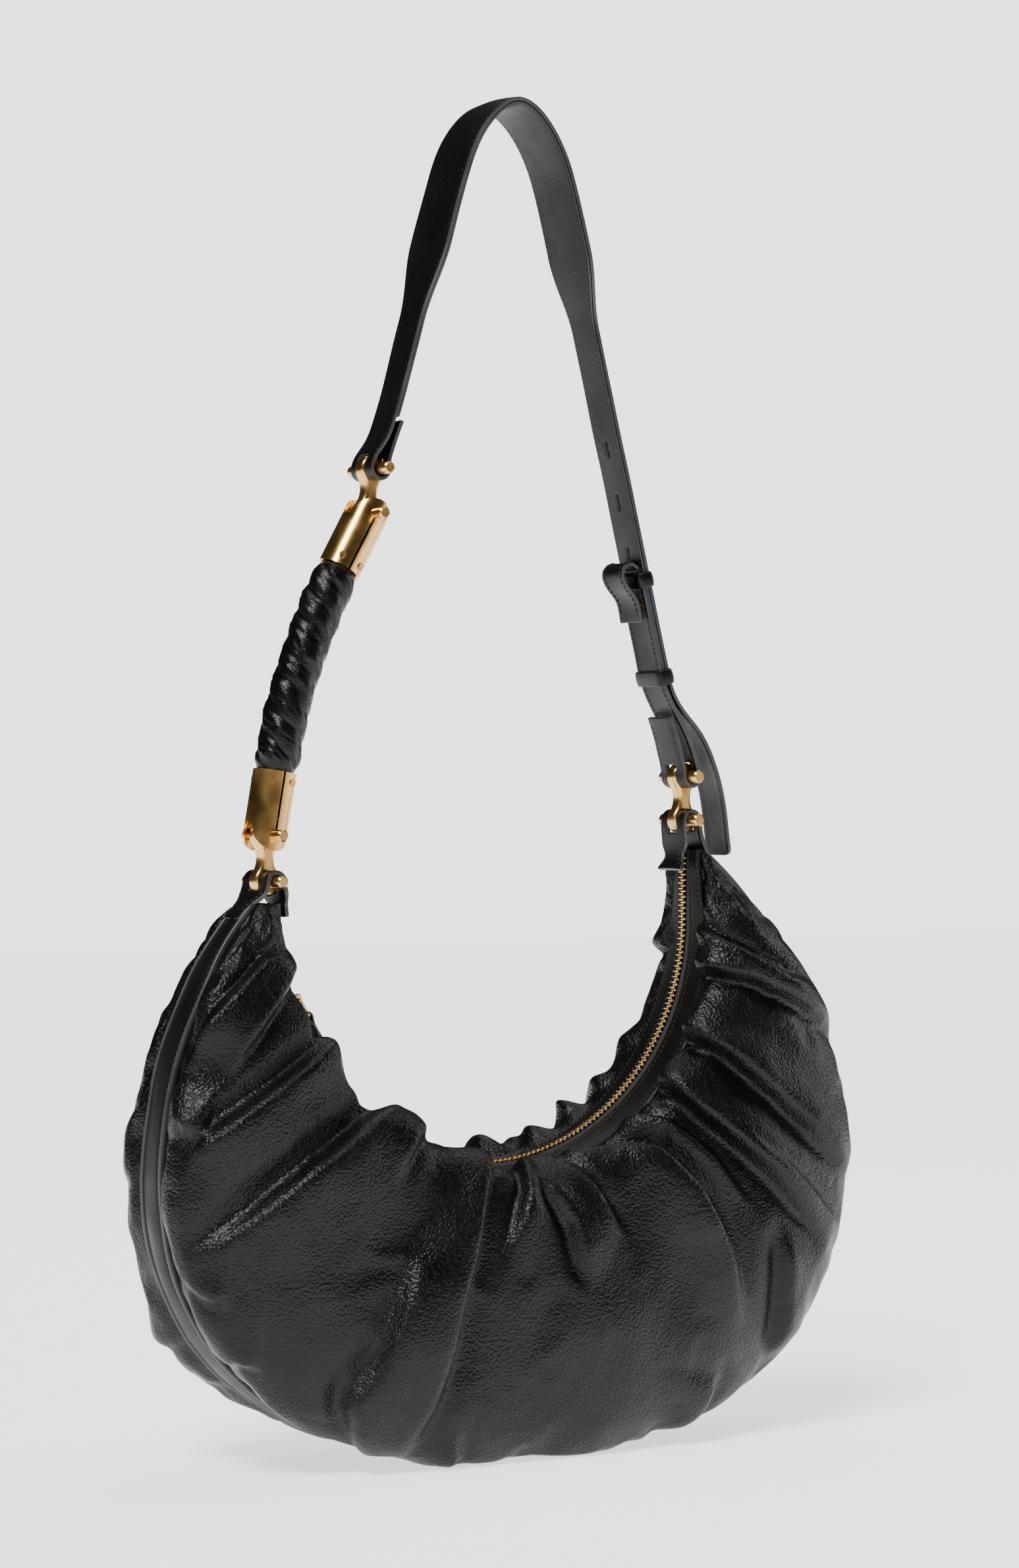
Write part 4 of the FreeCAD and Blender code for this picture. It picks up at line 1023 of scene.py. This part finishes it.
# ---- shoulder strap -----------------------------------------------------------------------------
# Two plies of firm hide glued and stitched back to back, wide over the shoulder and narrow down both
# legs. The left end wraps the pin and is stitched back on itself. The right leg carries buttonholes,
# runs down outside the short strap through two keepers, and ends in a free tail with rounded corners.
ARCH = ((-0.080, 0.527), (-0.0665, 0.566), (-0.055, 0.606), (-0.043, 0.648), (-0.033, 0.682), (-0.019, 0.713),
        (0.002, 0.728), (0.023, 0.713), (0.036, 0.685), (0.0475, 0.642), (0.059, 0.597))
LEG_TOP, LEG_LOW = Vector((0.059, 0, 0.597)), Vector((0.104, 0, 0.417))
LEG_WAY = (LEG_LOW - LEG_TOP).normalized()
LEG_OUT = Vector((-LEG_WAY.z, 0, LEG_WAY.x))
TAIL = ((0.104, 0.417), (0.1125, 0.401), (0.1245, 0.388), (0.134, 0.371), (0.1405, 0.349), (0.145, 0.320))
TAIL_END_Z, TAIL_CORNER = 0.320, 0.004
HOLES = (0.042, 0.072, 0.102, 0.132)
HOLE_HALF = 0.0045
OUTER_LIFT, INNER_LIFT = 0.0010, 0.0009


def on_leg(along, out):
    """A point up the straight right leg from its low end, and out from its middle."""
    return LEG_LOW - LEG_WAY * along + LEG_OUT * out


def shoulder_half(z):
    return LEG_HALF + 0.008 * ease(z, 0.608, 0.650)


def tail_half(z):
    into_corner = max(0.0, TAIL_END_Z + TAIL_CORNER - z)
    return LEG_HALF - TAIL_CORNER + math.sqrt(max(0.0, TAIL_CORNER ** 2 - into_corner ** 2))


arch = even_run(ARCH, (13.5, 39), (LEG_WAY.x, LEG_WAY.z))
leg = [(on_leg(k * 0.0015, 0), LEG_WAY) for k in range(123, 0, -1)]
tail = even_run(TAIL, (LEG_WAY.x, LEG_WAY.z), (4, -20), spacing=0.0013)
turned = [(-0.0668, 0.5530), (-0.0698, 0.5455), (-0.0728, 0.5375)] + round_pin(PIN_D, 0.0052, 15, -185)
joined = beside(arch[13], OUTER_LIFT, 0)
turned += [tuple(beside(arch[7], 0.0024, 0).xz), tuple(joined.xz)]
turned_run = even_run(turned, last_way=tuple(arch[13][1].xz), spacing=0.0012)
# each stop: point of the middle of the outer ply, direction, half width, distance up the straight leg
outer_stops = [(p, w, LEG_HALF, None) for p, w in turned_run[:-1]]
outer_stops += [(beside((p, w), OUTER_LIFT, 0), w, shoulder_half(p.z), None) for p, w in arch[13:-1]]
outer_stops += [(p + LEG_OUT * OUTER_LIFT, w, LEG_HALF, (p - LEG_LOW).length) for p, w in leg]
outer_stops += [(beside((p, w), OUTER_LIFT, 0), w, tail_half(p.z), None) for p, w in tail]


def ply_spot(stop, y, lift):
    """A point of a ply beside one of its stops; a negative lift is on the inner face."""
    half = stop[2]
    wide = ease(half, LEG_HALF, 0.019)
    bow = (0.0003 + 0.0009 * wide) * (1 - (y / half) ** 2)
    groove = 0.00028 if abs(half - abs(y) - STITCH_INSET) < 1e-5 else 0
    sway = 0.0004 * noise.noise(Vector((stop[0].x * 30, y * 60, stop[0].z * 30)))
    sign = -1 if lift < 0 else 1
    return beside(stop, lift + sign * (bow - groove) + sway, y)


def holed(stops):
    """Which cells of a ply are cut out, for the link at the pin and for the buttonholes."""
    def gone(i, j):
        if j in SLOT_COLUMNS and max((stops[k][0] - PIN_D).length for k in (i, i + 1)) < 0.0084:
            return True
        if j not in HOLE_COLUMNS or stops[i][3] is None or stops[i + 1][3] is None:
            return False
        middle = (stops[i][3] + stops[i + 1][3]) / 2
        return any(abs(middle - hole) < HOLE_HALF for hole in HOLES)
    return gone


strip("shoulder_ply", len(outer_stops) - 1, LAST_COLUMN,
      lambda i, j: ply_spot(outer_stops[i], column(j, outer_stops[i][2]), 0.0),
      0.0020, "strap", strap_hide, ("shoulder_strap",), gone=holed(outer_stops))
lining_stops = [(beside((p, w), -INNER_LIFT, 0), w, shoulder_half(p.z), None) for p, w in arch[15:-1]]
lining_stops += [(p - LEG_OUT * INNER_LIFT, w, LEG_HALF, (p - LEG_LOW).length) for p, w in leg]
strip("lining_ply", len(lining_stops) - 1, LAST_COLUMN,
      lambda i, j: ply_spot(lining_stops[i], column(j, lining_stops[i][2] - 0.0002), -0.00001),
      0.0016, "strap", strap_hide, ("strap_lining",), gone=holed(lining_stops))
seams = []
for edge in (-1, 1):
    outside = [ply_spot(s, edge * (s[2] - STITCH_INSET), 0.00082) for s in outer_stops
               if s[2] > 0.0108 and (s[0] - PIN_D).length > 0.0085]
    inside = [ply_spot(s, edge * (s[2] - STITCH_INSET), -0.00092) for s in lining_stops]
    seams += broken(outside) + broken(inside)
sew("strap_stitches", seams, "strap")

# ---- short strap, keepers and curled end --------------------------------------------------------
# A doubled strip goes round the right link's upper pin, up inside the long strap and through the two
# keepers. Its lower end turns back as a stitched tab, and its top curls over the upper keeper.
short = [tuple(on_leg(a, -0.0034).xz) for a in (0.062, 0.045, 0.030, 0.014, 0.002)]
short += [(0.1086, 0.4010), (0.1178, 0.3850)] + round_pin(PIN_E, 0.0050, 25, -190)
short += [(0.1128, 0.3755), (0.1098, 0.3860), (0.1058, 0.3972)]
looped_strip("short_leather", short, lambda point: LEG_HALF, PIN_E, 0.0025, "strap",
             ("short_strap",))
curl = [tuple(on_leg(a, o).xz) for a, o in ((0.0645, -0.0036), (0.0680, -0.0073), (0.0660, -0.0135),
                                            (0.0580, -0.0140), (0.0480, -0.0092), (0.0355, -0.0090))]
looped_strip("curled_end", curl, lambda point: 0.0100, Vector((0, 0, 0)), 0.0021, "strap",
             ("adjuster_tab",))
keeper_hide = leather("keeper_leather", 0.0008, 0.00008, 0.30)
KEEPER_ROUND, KEEPER_ROWS = 64, 8
for word, start, body in (("upper", 0.0534, "strap"), ("lower", -0.0016, "keeper")):
    def keeper_spot(i, j, start=start):
        turn = 2 * math.pi * (i % KEEPER_ROUND) / KEEPER_ROUND
        c, s = math.cos(turn), math.sin(turn)
        y = 0.0121 * math.copysign(abs(c) ** 0.30, c)
        out = -0.001425 + 0.004525 * math.copysign(abs(s) ** 0.45, s)
        along = start + 0.0082 * j / KEEPER_ROWS
        bulge = 0.00035 * math.sin(math.pi * j / KEEPER_ROWS) - (0.0002 if j in (1, KEEPER_ROWS - 1) else 0)
        return on_leg(along, out + math.copysign(bulge, s)) + Vector((0, y + math.copysign(bulge, c), 0))
    strip(word + "_keeper_leather", KEEPER_ROUND, KEEPER_ROWS, keeper_spot, 0.0015, body,
          keeper_hide, (word + "_keeper",), ring=True)

# ---- lining and pocket --------------------------------------------------------------------------
# Black cotton twill, loose inside the leather, with a slip pocket hung on the back half.
twill = woven("lining_twill", (0.035, 0.032, 0.030), 0.0005)
LINING_ALONG, LINING_ACROSS = 70, 28
POCKET_ROUND, POCKET_ROWS = 48, 24
POCKET_FOOT, POCKET_TALL = 0.0525, 0.0870
for side, word in ((-1, "front"), (1, "back")):
    def lining_spot(i, j, side=side):
        origin, way, near, far, edge, full = panel_row(0.06 + 0.86 * i / LINING_ALONG)
        row = (origin, way, near + 0.0035, far - 0.0035, edge, full - 0.0045)
        return panel_spot(row, j / LINING_ACROSS, side)
    strip(word + "_lining", LINING_ALONG, LINING_ACROSS, lining_spot, 0.0005, "bag", twill,
          ("lining_" + word,), bevel=0)


def pocket_spot(i, j):
    turn = 2 * math.pi * (i % POCKET_ROUND) / POCKET_ROUND
    c, s = math.cos(turn), math.sin(turn)
    x = ZIP_CENTRE.x + 0.0715 * math.copysign(abs(c) ** 0.2, c)
    y = 0.027 + 0.0026 * math.copysign(abs(s) ** 0.6, s) * (0.25 + 0.75 * ease(j, 0, 8))
    return Vector((x, y, POCKET_FOOT + POCKET_TALL * j / POCKET_ROWS))


strip("slip_pocket", POCKET_ROUND, POCKET_ROWS, pocket_spot, 0.0006, "bag", twill,
      ("inner_pocket",), ring=True, bevel=0)
